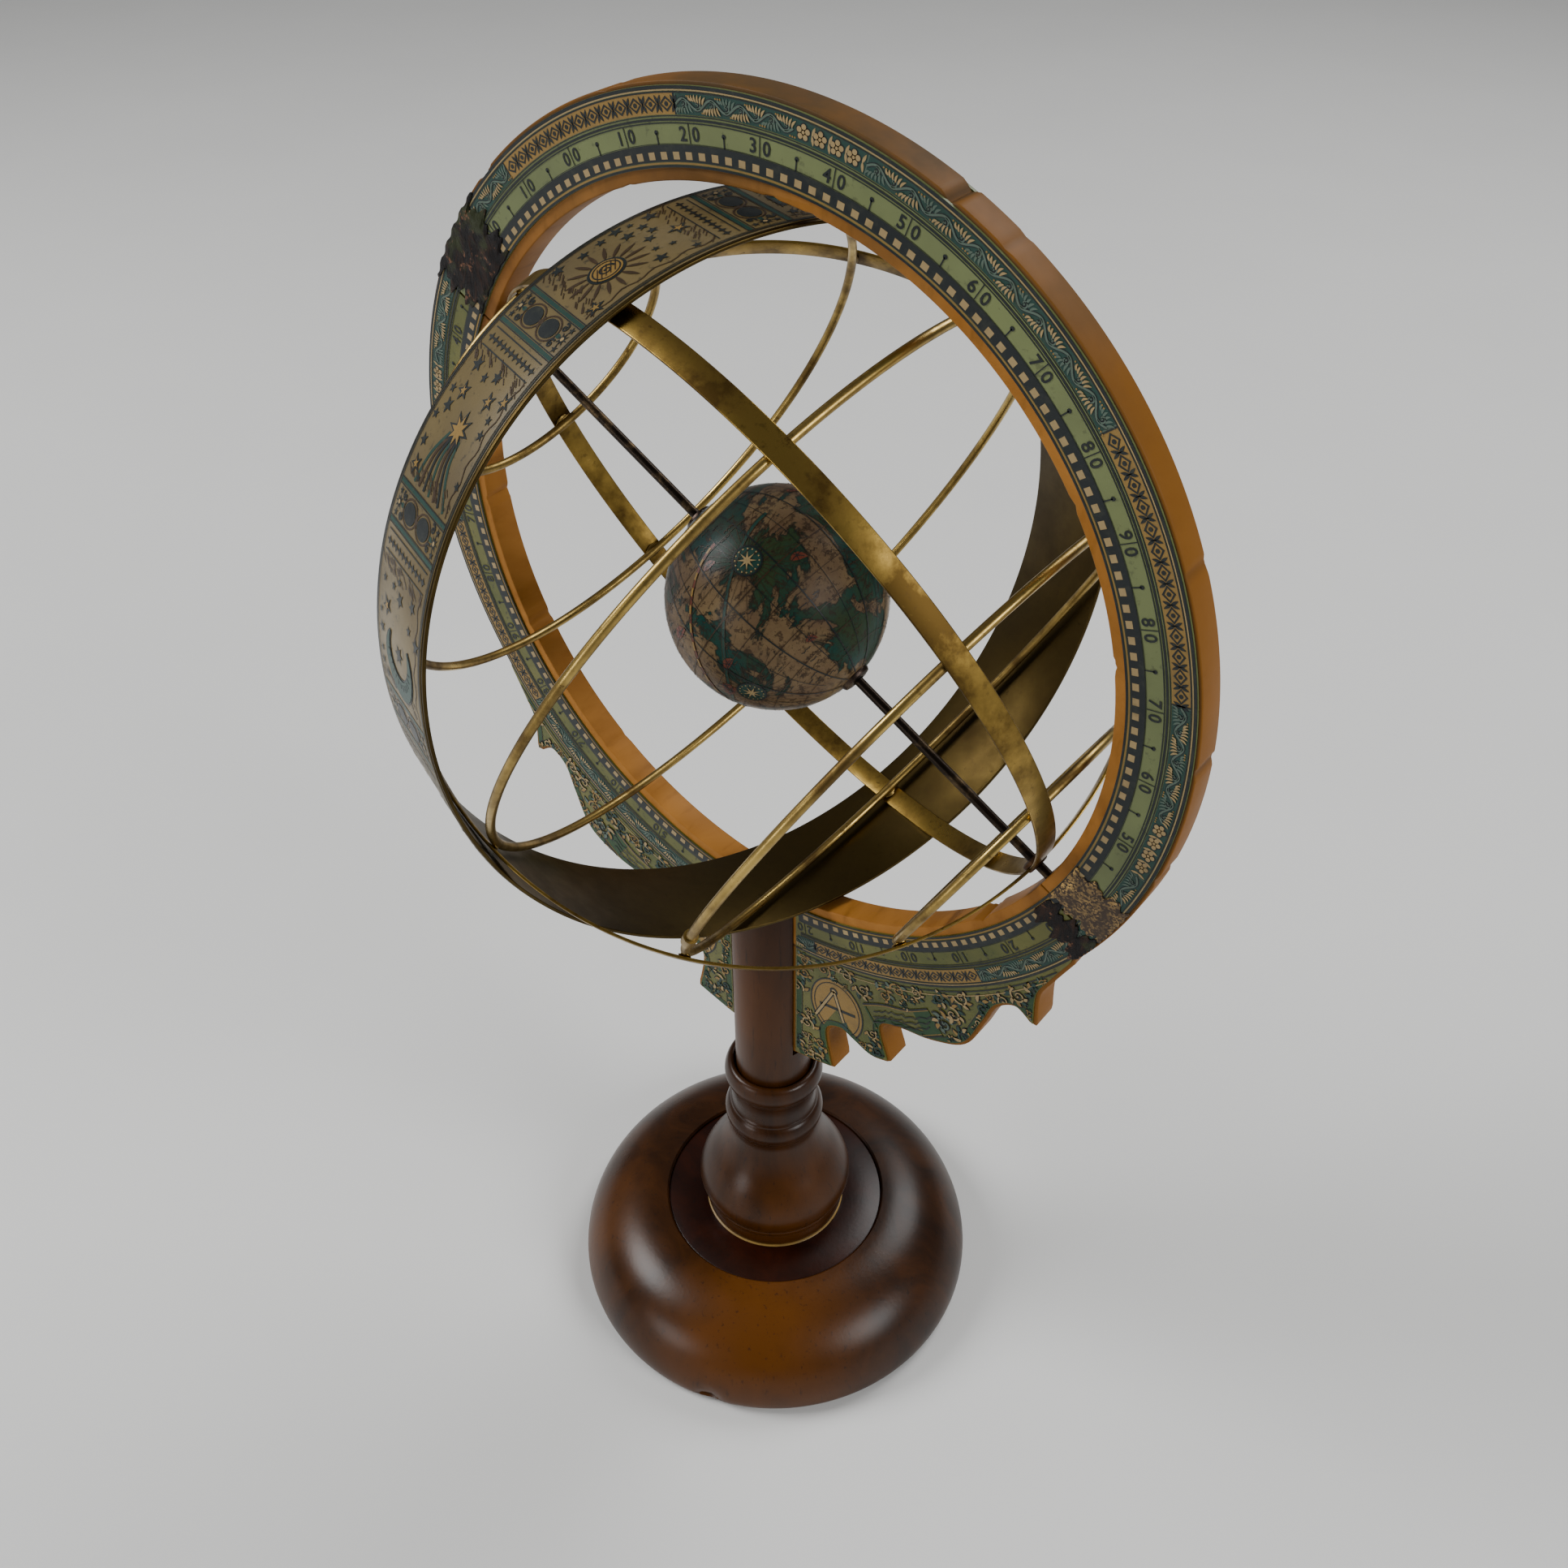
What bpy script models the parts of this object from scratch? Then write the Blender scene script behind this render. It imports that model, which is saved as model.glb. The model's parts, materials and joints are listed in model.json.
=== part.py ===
"""Table-top armillary sphere: a brass cage and a small globe turning on one inclined polar rod,
held in a slotted wooden ring board on a turned post.

Metres, +Z up, origin on the post's axis at the table. The ring board stands in the XZ plane.
"""
import math

import bmesh
import bpy
from mathutils import Vector

MM = 0.001
GAP = 0.3 * MM                    # space left between pieces that touch

# driving dimensions
BASE_HEIGHT = 24.6 * MM
DOME_CORE = 30.6 * MM             # radius of the flat top, from which the base's dome falls
DOME_REACH = 24.1 * MM
DOME_FOOT = 3.6 * MM
DOME_RISE = 21.2 * MM
RECESS_FLOOR = 22.3 * MM          # the inner disc lies in a recess of the base
FELT_RADIUS = 50.0 * MM
FELT_THICKNESS = 1.0 * MM
INNER_DISC_RADIUS = 30.0 * MM
FOOT_Z = 24.3 * MM                # where the turned stem stands on the inner disc
DOWEL_RADIUS = 6.0 * MM           # spigots under the stem and under the column
SCREW_HEAD_RADIUS = 4.6 * MM
COLUMN_RADIUS = 9.8 * MM
COLUMN_TOP = 146.3 * MM
SLOT_FLOOR = 92.6 * MM

RING_CENTRE = 226.6 * MM
RING_OUTER = 95.0 * MM
RING_INNER = 79.0 * MM
BOARD_THICKNESS = 6.4 * MM
PRINT_INNER = 81.3 * MM
PRINT_OUTER = 94.3 * MM
PRINT_THICKNESS = 0.2 * MM
FRET_MARGIN = 0.9 * MM            # bare wood left around the print on the fretwork

POLE_TILT = math.radians(-61.76)  # polar rod, from upright towards -X
ROD_RADIUS = 1.0 * MM
ROD_HALF = 84.0 * MM
CAGE_SLIP = 1.2 * MM              # the cage rests this far down the rod

WIRE_RADIUS = 0.9 * MM
WIRE_SPHERE = 72.9 * MM           # radius of the sphere the wire circles lie on
TROPIC_LATITUDE = math.radians(33.5)
POLAR_LATITUDE = math.radians(65.8)
COLURE_INNER = 74.1 * MM
COLURE_THICKNESS = 0.6 * MM
COLURE_WIDTH = 4.7 * MM
COLURE_AZIMUTH = math.radians(-28.9)
ZODIAC_AZIMUTH = math.radians(-37.5)
ZODIAC_TILT = math.radians(37.75)
ZODIAC_INNER = 75.0 * MM
ZODIAC_THICKNESS = 0.5 * MM
ZODIAC_WIDTH = 25.6 * MM
ZODIAC_PRINT_WIDTH = 24.0 * MM

GLOBE_RADIUS = 22.4 * MM
GLOBE_SLIP = 2.6 * MM             # the globe rests this far down the rod
BORE_RADIUS = ROD_RADIUS + GAP
CAP_RADIUS = 3.2 * MM
EYELET_RADIUS = 2.4 * MM
BEAD_RADIUS = 2.6 * MM
PATCH_INNER = 81.5 * MM
PATCH_OUTER = 94.0 * MM
PATCH_THICKNESS = 0.3 * MM

RING_STEPS = 56

COLOURS = {                       # base colour, roughness, metallic
    "mahogany": ((0.055, 0.022, 0.011), 0.30, 0.0),
    "red_mahogany": ((0.050, 0.011, 0.006), 0.32, 0.0),
    "orange_wood": ((0.46, 0.20, 0.045), 0.45, 0.0),
    "felt": ((0.03, 0.06, 0.04), 0.95, 0.0),
    "steel": ((0.30, 0.29, 0.28), 0.40, 1.0),
    "dark_steel": ((0.07, 0.06, 0.05), 0.38, 1.0),
    "aged_brass": ((0.42, 0.31, 0.12), 0.36, 1.0),
    "ring_print": ((0.20, 0.23, 0.13), 0.42, 0.0),
    "patch": ((0.16, 0.10, 0.05), 0.40, 0.4),
    "zodiac_print": ((0.30, 0.25, 0.14), 0.40, 0.0),
    "globe_map": ((0.30, 0.21, 0.15), 0.38, 0.0),
}


def clear_scene():
    for obj in list(bpy.data.objects):
        bpy.data.objects.remove(obj, do_unlink=True)


def new_collection(name):
    collection = bpy.data.collections.new(name)
    bpy.context.scene.collection.children.link(collection)
    return collection


def make_materials():
    materials = {}
    for name, (colour, roughness, metallic) in COLOURS.items():
        material = bpy.data.materials.new(name)
        material.use_nodes = True
        shader = material.node_tree.nodes["Principled BSDF"]
        shader.inputs["Base Color"].default_value = (*colour, 1.0)
        shader.inputs["Roughness"].default_value = roughness
        shader.inputs["Metallic"].default_value = metallic
        materials[name] = material
    return materials


clear_scene()
PARTS = new_collection("armillary_sphere")
CUTTERS = new_collection("cutters")
MATERIALS = make_materials()


def add_object(name, data, material=None, parent=None, smooth=False):
    """Put a mesh or curve in the parts, or among the cutters when it has no material."""
    obj = bpy.data.objects.new(name, data)
    (PARTS if material else CUTTERS).objects.link(obj)
    obj.parent = parent
    if material:
        data.materials.append(MATERIALS[material])
    else:
        obj.hide_render = True
        obj.display_type = "WIRE"
    if smooth:
        data.shade_smooth()
        data.set_sharp_from_angle(angle=math.radians(35))
    return obj


def empty(name, location=(0, 0, 0), rotation=(0, 0, 0), parent=None):
    obj = bpy.data.objects.new(name, None)
    PARTS.objects.link(obj)
    obj.location = location
    obj.rotation_euler = rotation
    obj.parent = parent
    return obj


def turned(name, profile, material, parent=None, steps=40):
    """A solid of revolution about local Z: profile is a closed loop of (radius, height),
    its outer side listed from top to bottom."""
    mesh = bpy.data.meshes.new(name)
    bm = bmesh.new()
    verts = [bm.verts.new((r, 0.0, z)) for r, z in profile]
    for first, second in zip(verts, verts[1:] + verts[:1]):
        bm.edges.new((first, second))
    bm.to_mesh(mesh)
    bm.free()
    obj = add_object(name, mesh, material, parent)
    screw = obj.modifiers.new("turn", "SCREW")
    screw.steps = steps
    screw.render_steps = steps
    screw.use_merge_vertices = True
    screw.merge_threshold = 0.00001
    screw.use_normal_calculate = False
    screw.use_smooth_shade = True
    return obj


def cylinder(name, radius, low, high, material=None, parent=None, steps=24):
    mesh = bpy.data.meshes.new(name)
    bm = bmesh.new()
    bmesh.ops.create_cone(bm, cap_ends=True, segments=steps, radius1=radius, radius2=radius,
                          depth=high - low)
    bmesh.ops.translate(bm, verts=bm.verts, vec=(0, 0, (high + low) / 2))
    bm.to_mesh(mesh)
    bm.free()
    return add_object(name, mesh, material, parent, smooth=bool(material))


def box(name, low, high):
    """A box cutter between two corners."""
    mesh = bpy.data.meshes.new(name)
    bm = bmesh.new()
    bmesh.ops.create_cube(bm, size=1.0)
    size = Vector(high) - Vector(low)
    bmesh.ops.scale(bm, vec=size, verts=bm.verts)
    bmesh.ops.translate(bm, vec=(Vector(high) + Vector(low)) / 2, verts=bm.verts)
    bm.to_mesh(mesh)
    bm.free()
    return add_object(name, mesh)


def cut(obj, cutter):
    modifier = obj.modifiers.new("cut_" + cutter.name, "BOOLEAN")
    modifier.operation = "DIFFERENCE"
    modifier.solver = "EXACT"
    modifier.object = cutter


def mesh_from_curve(name, curve, material, parent=None, matrix=None):
    """Turn a filled curve into a welded mesh object, so that it can be cut."""
    holder = bpy.data.objects.new(name + "_outline", curve)
    CUTTERS.objects.link(holder)
    depsgraph = bpy.context.evaluated_depsgraph_get()
    mesh = bpy.data.meshes.new_from_object(holder.evaluated_get(depsgraph))
    bm = bmesh.new()
    bm.from_mesh(mesh)
    bmesh.ops.remove_doubles(bm, verts=bm.verts, dist=0.00001)
    if matrix:
        bm.transform(matrix)
    bm.to_mesh(mesh)
    bm.free()
    bpy.data.objects.remove(holder, do_unlink=True)
    bpy.data.curves.remove(curve)
    mesh.name = name
    return add_object(name, mesh, material, parent)


def plate(name, loops, y_low, y_high, material):
    """A flat plate in the board's plane: loops are closed (x, z) outlines about the ring centre."""
    curve = bpy.data.curves.new(name, "CURVE")
    curve.dimensions = "2D"
    curve.fill_mode = "BOTH"
    curve.extrude = (y_high - y_low) / 2
    for loop in loops:
        spline = curve.splines.new("POLY")
        spline.points.add(len(loop) - 1)
        for point, (x, z) in zip(spline.points, loop):
            point.co = (x, z, 0.0, 1.0)
        spline.use_cyclic_u = True
    obj = mesh_from_curve(name, curve, material)
    obj.rotation_euler = (math.pi / 2, 0, 0)
    obj.location = (0, (y_low + y_high) / 2, RING_CENTRE)
    return obj


def band(name, inner, thickness, width, material, parent, steps=RING_STEPS, tilt=(0, 0, 0),
         start=0.0, sweep=math.tau):
    """A flat strip bent into a hoop about its local Z, whole or part of a turn."""
    mesh = bpy.data.meshes.new(name)
    bm = bmesh.new()
    outer = inner + thickness
    half = width / 2
    corners = [(outer, half), (outer, -half), (inner, -half), (inner, half)]
    whole = math.isclose(sweep, math.tau)
    count = steps if whole else steps + 1
    rings = []
    for step in range(count):
        angle = start + sweep * step / steps
        rings.append([bm.verts.new((r * math.cos(angle), r * math.sin(angle), z))
                      for r, z in corners])
    pairs = list(zip(rings, rings[1:]))
    if whole:
        pairs.append((rings[-1], rings[0]))
    for here, there in pairs:
        for i in range(4):
            j = (i + 1) % 4
            bm.faces.new((here[i], here[j], there[j], there[i]))
    if not whole:
        bm.faces.new(rings[0][::-1])
        bm.faces.new(rings[-1])
    bmesh.ops.recalc_face_normals(bm, faces=bm.faces)
    bm.to_mesh(mesh)
    bm.free()
    obj = add_object(name, mesh, material, parent, smooth=True)
    obj.rotation_euler = tilt
    return obj


def wire_circle(name, latitude, parent, steps=48, sides=5):
    """A closed wire hoop on the cage's wire sphere, at one latitude."""
    mesh = bpy.data.meshes.new(name)
    bm = bmesh.new()
    radius = WIRE_SPHERE * math.cos(latitude)
    height = WIRE_SPHERE * math.sin(latitude)
    rings = []
    for step in range(steps):
        turn = math.tau * step / steps
        ring = []
        for side in range(sides):
            around = math.tau * side / sides
            r = radius + WIRE_RADIUS * math.cos(around)
            ring.append(bm.verts.new((r * math.cos(turn), r * math.sin(turn),
                                      height + WIRE_RADIUS * math.sin(around))))
        rings.append(ring)
    for here, there in zip(rings, rings[1:] + rings[:1]):
        for i in range(sides):
            j = (i + 1) % sides
            bm.faces.new((here[j], here[i], there[i], there[j]))
    bmesh.ops.recalc_face_normals(bm, faces=bm.faces)
    bm.to_mesh(mesh)
    bm.free()
    return add_object(name, mesh, "aged_brass", parent, smooth=True)


def arc(radius, start, end, steps):
    """Points on a circle in the board's plane, by angle clockwise from the top."""
    points = []
    for step in range(steps + 1):
        angle = start + (end - start) * step / steps
        points.append((radius * math.sin(angle), radius * math.cos(angle)))
    return points


def smooth_run(points, steps=3):
    """A smooth curve through a run of points, without its last point."""
    ends = [points[0]] + points + [points[-1]]
    result = []
    for i in range(1, len(ends) - 2):
        a, b, c, d = (Vector(p) for p in ends[i - 1:i + 3])
        for step in range(steps):
            t = step / steps
            p = 0.5 * (2 * b + (c - a) * t + (2 * a - 5 * b + 4 * c - d) * t ** 2
                       + (3 * b - a - 3 * c + d) * t ** 3)
            result.append(tuple(p))
    return result


def fret_outline():
    """The right-hand edge of the scalloped bracket, from the ring down to the post, in metres."""
    runs_mm = [
        [(78.6, -53.0), (74.6, -61.2), (72.3, -67.0), (72.6, -75.6)],
        [(72.6, -75.6), (68.0, -73.0), (63.2, -76.5), (60.5, -84.0), (56.5, -93.5),
         (48.0, -98.3), (39.5, -100.4), (34.6, -104.2), (37.3, -114.3)],
        [(37.3, -114.3), (32.5, -115.6), (27.5, -113.8), (23.4, -112.6), (19.2, -116.6),
         (21.2, -128.6)],
        [(21.2, -128.6), (10.0, -131.4), (0.0, -132.6)],
    ]
    points = []
    for run in runs_mm:
        points += smooth_run([(x * MM, z * MM) for x, z in run])
    return points


def grown(points, distance):
    """An open outline moved outwards, to its left as it is walked, by its mean normals."""
    result = []
    for i, (x, z) in enumerate(points):
        x0, z0 = points[max(i - 1, 0)]
        x1, z1 = points[min(i + 1, len(points) - 1)]
        along = Vector((x1 - x0, z1 - z0)).normalized()
        result.append((x - along.y * distance, z + along.x * distance))
    return result


def lower_edge(radius, margin, start, end):
    """The outer edge of the lower half, from its right end round the fretwork to its left end."""
    right = grown(fret_outline(), margin) if margin else fret_outline()
    right = [p for p in right if Vector(p).length > radius + 0.4 * MM and p[0] > 0]
    join = math.atan2(right[0][0], right[0][1])
    edge = arc(radius, start, join - math.radians(0.6), 3) + right
    left = [(-x, z) for x, z in reversed(right)]
    leave = math.tau - join + math.radians(0.6)
    return edge + left + arc(radius, leave, end, 18)


def split_angle(radius, gaps=1.0):
    """Angle of a half's end at a radius, so that its straight end is half of some gaps clear of
    the split line."""
    return gaps * math.asin(GAP / 2 / radius)


def make_base():
    dome = []
    for step in range(10):
        angle = math.radians(88 - 88 * step / 9)
        dome.append((DOME_CORE + DOME_REACH * math.cos(angle),
                     DOME_FOOT + DOME_RISE * math.sin(angle)))
    floor = FELT_THICKNESS + GAP
    rim = DOME_CORE + DOME_REACH
    dowel_hole = DOWEL_RADIUS + GAP
    screw_hole = 2.4 * MM
    head_hole = SCREW_HEAD_RADIUS + 2 * GAP
    head_seat = 6.3 * MM
    dowel_floor = 12.0 * MM
    profile = [(INNER_DISC_RADIUS + GAP, BASE_HEIGHT)] + dome + [
        (rim - GAP, 2.4 * MM), (rim - 1.3 * MM, floor), (head_hole, floor), (head_hole, head_seat),
        (screw_hole, head_seat), (screw_hole, dowel_floor), (dowel_hole, dowel_floor),
        (dowel_hole, RECESS_FLOOR), (INNER_DISC_RADIUS + GAP, RECESS_FLOOR)]
    turned("base_disc", profile, "mahogany", steps=48)
    top = FOOT_Z - GAP
    low = RECESS_FLOOR + GAP
    hole = DOWEL_RADIUS + 0.4 * MM
    turned("base_inner_disc", [(INNER_DISC_RADIUS, top), (INNER_DISC_RADIUS, low), (hole, low),
                               (hole, top)], "red_mahogany", steps=40)
    cylinder("felt_pad", FELT_RADIUS, 0.0, FELT_THICKNESS, "felt", steps=40)
    turned("base_screw", [(0.0, 30.0 * MM), (2.0 * MM, 26.0 * MM), (2.0 * MM, 6.0 * MM),
                          (SCREW_HEAD_RADIUS, 6.0 * MM), (SCREW_HEAD_RADIUS, 3.4 * MM),
                          (0.0, 3.0 * MM)],
           "steel", steps=20)


def make_stem():
    profile_mm = [
        (10.4, 81.6), (11.4, 82.0), (12.4, 80.6), (12.8, 78.4), (12.4, 76.2), (11.5, 74.9),
        (11.1, 73.6), (10.9, 70.6), (11.1, 67.6), (11.7, 66.2), (12.5, 64.9), (13.0, 63.0),
        (12.8, 61.0), (12.0, 59.6), (11.6, 58.4), (11.7, 56.2), (12.6, 53.0), (14.6, 48.6),
        (17.8, 43.6), (20.0, 38.8), (20.85, 34.4), (20.4, 31.0), (19.4, 29.2), (18.9, 28.6),
        (19.0, 26.6), (19.0, 24.3), (6.0, 24.3), (6.0, 12.3), (2.3, 12.3), (2.3, 32.0),
        (0.0, 33.0), (0.0, 64.0), (6.3, 64.0), (6.3, 79.0), (10.4, 79.0)]
    turned("stem", [(r * MM, z * MM) for r, z in profile_mm], "mahogany", steps=32)


def make_column():
    profile_mm = [(0.0, 146.3), (9.2, 146.3), (9.8, 145.7), (9.8, 79.3), (6.0, 79.3),
                  (6.0, 64.6), (0.0, 64.6)]
    column = turned("column", [(r * MM, z * MM) for r, z in profile_mm], "mahogany", steps=32)
    half = BOARD_THICKNESS / 2 + GAP
    slot = box("column_slot", (-0.02, -half, SLOT_FLOOR), (0.02, half, COLUMN_TOP + 0.01))
    cut(column, slot)


def make_ring_board(polar_axis):
    start = POLE_TILT
    end = POLE_TILT + math.pi
    half = BOARD_THICKNESS / 2
    bore = cylinder("rod_bore", BORE_RADIUS, -ROD_HALF - GAP, ROD_HALF + GAP, parent=polar_axis,
                    steps=16)
    out = split_angle(RING_OUTER)
    bore_side = split_angle(RING_INNER)
    upper = (arc(RING_OUTER, start + out, end - out, 44)
             + arc(RING_INNER, end - bore_side, start + bore_side, 40))
    upper_board = plate("ring_upper_half", [upper], -half, half, "orange_wood")
    edge = lower_edge(RING_OUTER, FRET_MARGIN, end + out, start + math.tau - out)
    lower = edge + arc(RING_INNER, start + math.tau - bore_side, end + bore_side, 40)
    lower_board = plate("ring_lower_half", [lower], -half, half, "orange_wood")
    for board in (upper_board, lower_board):
        cut(board, bore)


def make_prints():
    """Printed papers on the board's two faces: the upper half, and the lower half on each side
    of the post."""
    start = POLE_TILT
    end = POLE_TILT + math.pi
    out = split_angle(PRINT_OUTER, 1.6)
    inside = split_angle(PRINT_INNER, 1.6)
    upper = (arc(PRINT_OUTER, start + out, end - out, 40)
             + arc(PRINT_INNER, end - inside, start + inside, 40))
    edge = lower_edge(PRINT_OUTER, 0.0, end + out, start + math.tau - out)
    lower = edge + arc(PRINT_INNER, start + math.tau - inside, end + inside, 40)
    near = BOARD_THICKNESS / 2 + GAP
    far = near + PRINT_THICKNESS
    clear = COLUMN_RADIUS + GAP
    reach = 0.15
    over_left = box("over_left", (-reach, -0.02, 0.0), (clear, 0.02, 2 * RING_CENTRE))
    over_right = box("over_right", (-clear, -0.02, 0.0), (reach, 0.02, 2 * RING_CENTRE))
    for face, low, high in (("front", -far, -near), ("back", near, far)):
        plate(face + "_print_upper", [upper], low, high, "ring_print")
        right = plate(face + "_print_right", [lower], low, high, "ring_print")
        left = plate(face + "_print_left", [lower], low, high, "ring_print")
        cut(right, over_left)
        cut(left, over_right)


def make_patches():
    """Two repairs over the joints of the board, beside the polar rod."""
    near = BOARD_THICKNESS / 2 + GAP + PRINT_THICKNESS + GAP
    far = near + PATCH_THICKNESS
    pole = math.degrees(POLE_TILT)
    for name, first, last in (("patch_upper_joint", pole + 0.4, pole + 12.5),
                              ("patch_lower_joint", pole + 172.6, pole + 179.6)):
        first, last = math.radians(first), math.radians(last)
        loop = arc(PATCH_OUTER, first, last, 6) + arc(PATCH_INNER, last, first, 6)
        plate(name, [loop], -far, -near, "patch")


def make_rod(polar_axis):
    cylinder("polar_rod", ROD_RADIUS, -ROD_HALF, ROD_HALF, "dark_steel", polar_axis, steps=16)


def make_bead(polar_axis):
    """The brass bead on the rod between the ring and the cage's upper pole."""
    low = COLURE_INNER + COLURE_THICKNESS - CAGE_SLIP + 0.7 * MM
    high = RING_INNER - 2 * GAP
    centre = (high + low) / 2
    half = (high - low) / 2
    end = math.radians(70)
    profile = []
    for step in range(7):
        angle = end * (1 - step / 3)
        profile.append((BEAD_RADIUS * math.cos(angle) + 0.5 * MM,
                        centre + half * math.sin(angle) / math.sin(end)))
    profile += [(BORE_RADIUS, profile[-1][1]), (BORE_RADIUS, profile[0][1])]
    turned("upper_bead", profile, "aged_brass", polar_axis, steps=24)


def make_cage(cage_axis):
    """Full solstitial hoop, two half hoops for the equinoctial colure, five wires, the zodiac."""
    upright = (math.pi / 2, 0, 0)
    solstitial = band("colure_solstitial", COLURE_INNER, COLURE_THICKNESS, COLURE_WIDTH,
                      "aged_brass", cage_axis, tilt=upright)
    eyelet_bore = cylinder("eyelet_bore", EYELET_RADIUS - 0.5 * MM + GAP, -0.09, 0.09,
                           parent=cage_axis, steps=20)
    cut(solstitial, eyelet_bore)
    clear = math.asin((COLURE_WIDTH / 2 + GAP) / COLURE_INNER)
    for name, side in (("colure_equinoctial_near", -1), ("colure_equinoctial_far", 1)):
        hoop = band(name, COLURE_INNER, COLURE_THICKNESS, COLURE_WIDTH, "aged_brass", cage_axis,
                    steps=32, start=-math.pi / 2 + clear, sweep=math.pi - 2 * clear)
        hoop.rotation_euler = (math.pi / 2, 0, side * math.pi / 2)
    wire_circle("equator_wire", 0.0, cage_axis)
    wire_circle("tropic_wire_north", TROPIC_LATITUDE, cage_axis)
    wire_circle("tropic_wire_south", -TROPIC_LATITUDE, cage_axis)
    wire_circle("polar_wire_north", POLAR_LATITUDE, cage_axis, steps=28)
    wire_circle("polar_wire_south", -POLAR_LATITUDE, cage_axis, steps=28)
    zodiac_axis = empty("zodiac_axis", rotation=(0, 0, ZODIAC_AZIMUTH - COLURE_AZIMUTH),
                        parent=cage_axis)
    lean = (0, -ZODIAC_TILT, 0)
    band("zodiac_band", ZODIAC_INNER, ZODIAC_THICKNESS, ZODIAC_WIDTH, "aged_brass", zodiac_axis,
         steps=60, tilt=lean)
    band("zodiac_print", ZODIAC_INNER + ZODIAC_THICKNESS + GAP, PRINT_THICKNESS,
         ZODIAC_PRINT_WIDTH, "zodiac_print", zodiac_axis, steps=60, tilt=lean)


def make_eyelets(cage_axis):
    """Flanged brass eyelets through the solstitial hoop's poles, in which the rod turns."""
    outside = COLURE_INNER + COLURE_THICKNESS
    barrel = EYELET_RADIUS - 0.5 * MM
    for name, flip in (("eyelet_north", 0.0), ("eyelet_south", math.pi)):
        profile = [
            (barrel, outside + 0.4 * MM), (barrel, COLURE_INNER - GAP),
            (EYELET_RADIUS + 0.3 * MM, COLURE_INNER - GAP),
            (EYELET_RADIUS + 0.3 * MM, COLURE_INNER - GAP - 0.8 * MM),
            (BORE_RADIUS, COLURE_INNER - GAP - 0.8 * MM), (BORE_RADIUS, outside + 0.4 * MM)]
        eyelet = turned(name, profile, "aged_brass", cage_axis, steps=20)
        eyelet.rotation_euler = (flip, 0, 0)


def make_globe(globe_axis):
    flat = math.acos(2.2 * MM / GLOBE_RADIUS)
    profile = []
    steps = 15
    for step in range(steps + 1):
        latitude = flat - 2 * flat * step / steps
        profile.append((GLOBE_RADIUS * math.cos(latitude), GLOBE_RADIUS * math.sin(latitude)))
    top = profile[0][1]
    profile += [(BORE_RADIUS, -top), (BORE_RADIUS, top)]
    turned("globe_ball", profile, "globe_map", globe_axis, steps=30)
    for name, flip in (("globe_cap_north", 0.0), ("globe_cap_south", math.pi)):
        low = GLOBE_RADIUS + 0.1 * MM
        profile = [(CAP_RADIUS - 1.0 * MM, low + 0.7 * MM), (CAP_RADIUS, low + 0.2 * MM),
                   (CAP_RADIUS, low), (BORE_RADIUS, low), (BORE_RADIUS, low + 0.7 * MM)]
        cap = turned(name, profile, "dark_steel", globe_axis, steps=20)
        cap.rotation_euler = (flip, 0, 0)


def main():
    polar_axis = empty("polar_axis", (0, 0, RING_CENTRE), (0, POLE_TILT, 0))
    cage_axis = empty("cage_axis", (0, 0, -CAGE_SLIP), (0, 0, COLURE_AZIMUTH), polar_axis)
    globe_axis = empty("globe_axis", (0, 0, -GLOBE_SLIP), parent=polar_axis)
    make_base()
    make_stem()
    make_column()
    make_ring_board(polar_axis)
    make_prints()
    make_patches()
    make_rod(polar_axis)
    make_bead(polar_axis)
    make_cage(cage_axis)
    make_eyelets(cage_axis)
    make_globe(globe_axis)


main()
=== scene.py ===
import json
import math
import random
from contextlib import contextmanager

import bmesh
import bpy
from mathutils import Matrix, Vector


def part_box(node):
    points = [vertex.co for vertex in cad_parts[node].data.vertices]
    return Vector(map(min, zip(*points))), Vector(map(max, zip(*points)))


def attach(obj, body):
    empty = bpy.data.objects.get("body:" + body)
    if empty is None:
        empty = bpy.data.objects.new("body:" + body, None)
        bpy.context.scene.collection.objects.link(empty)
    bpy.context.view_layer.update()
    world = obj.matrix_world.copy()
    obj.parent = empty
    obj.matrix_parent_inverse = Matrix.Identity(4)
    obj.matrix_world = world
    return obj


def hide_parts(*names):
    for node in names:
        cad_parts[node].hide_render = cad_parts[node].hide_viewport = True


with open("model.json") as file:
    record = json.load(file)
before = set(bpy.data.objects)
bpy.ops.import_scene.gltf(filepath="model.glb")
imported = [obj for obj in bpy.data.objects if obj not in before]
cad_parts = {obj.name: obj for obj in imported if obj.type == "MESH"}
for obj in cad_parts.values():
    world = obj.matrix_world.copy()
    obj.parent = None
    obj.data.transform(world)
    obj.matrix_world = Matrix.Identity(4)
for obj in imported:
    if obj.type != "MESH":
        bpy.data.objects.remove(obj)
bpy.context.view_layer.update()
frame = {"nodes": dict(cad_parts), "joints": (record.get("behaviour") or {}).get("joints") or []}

# The looks of the armillary sphere: finely turned wood, hand-drawn printed papers and aged brass,
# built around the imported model. Shapes are built in millimetres, in the model's own frame, and
# brought to metres when their mesh is finished.
MM = 0.001


def box_mm(node):
    return [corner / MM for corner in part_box(node)]


# places and sizes read from the frame
ROD_LOW, ROD_HIGH = box_mm("polar_rod")
CENTRE = (ROD_LOW + ROD_HIGH) / 2
POLE = Vector(next(j["axis"] for j in frame["joints"] if j["name"] == "cage_spin")).normalized()
POLE_TILT = math.atan2(POLE.x, POLE.z)
RING_OUTER = box_mm("ring_upper_half")[1].z - CENTRE.z
BOARD_HALF = box_mm("ring_upper_half")[1].y
BASE_RADIUS = box_mm("base_disc")[1].x
BASE_TOP = box_mm("base_disc")[1].z
COLUMN_TOP = box_mm("column")[1].z
FELT_TOP = box_mm("felt_pad")[1].z

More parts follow.
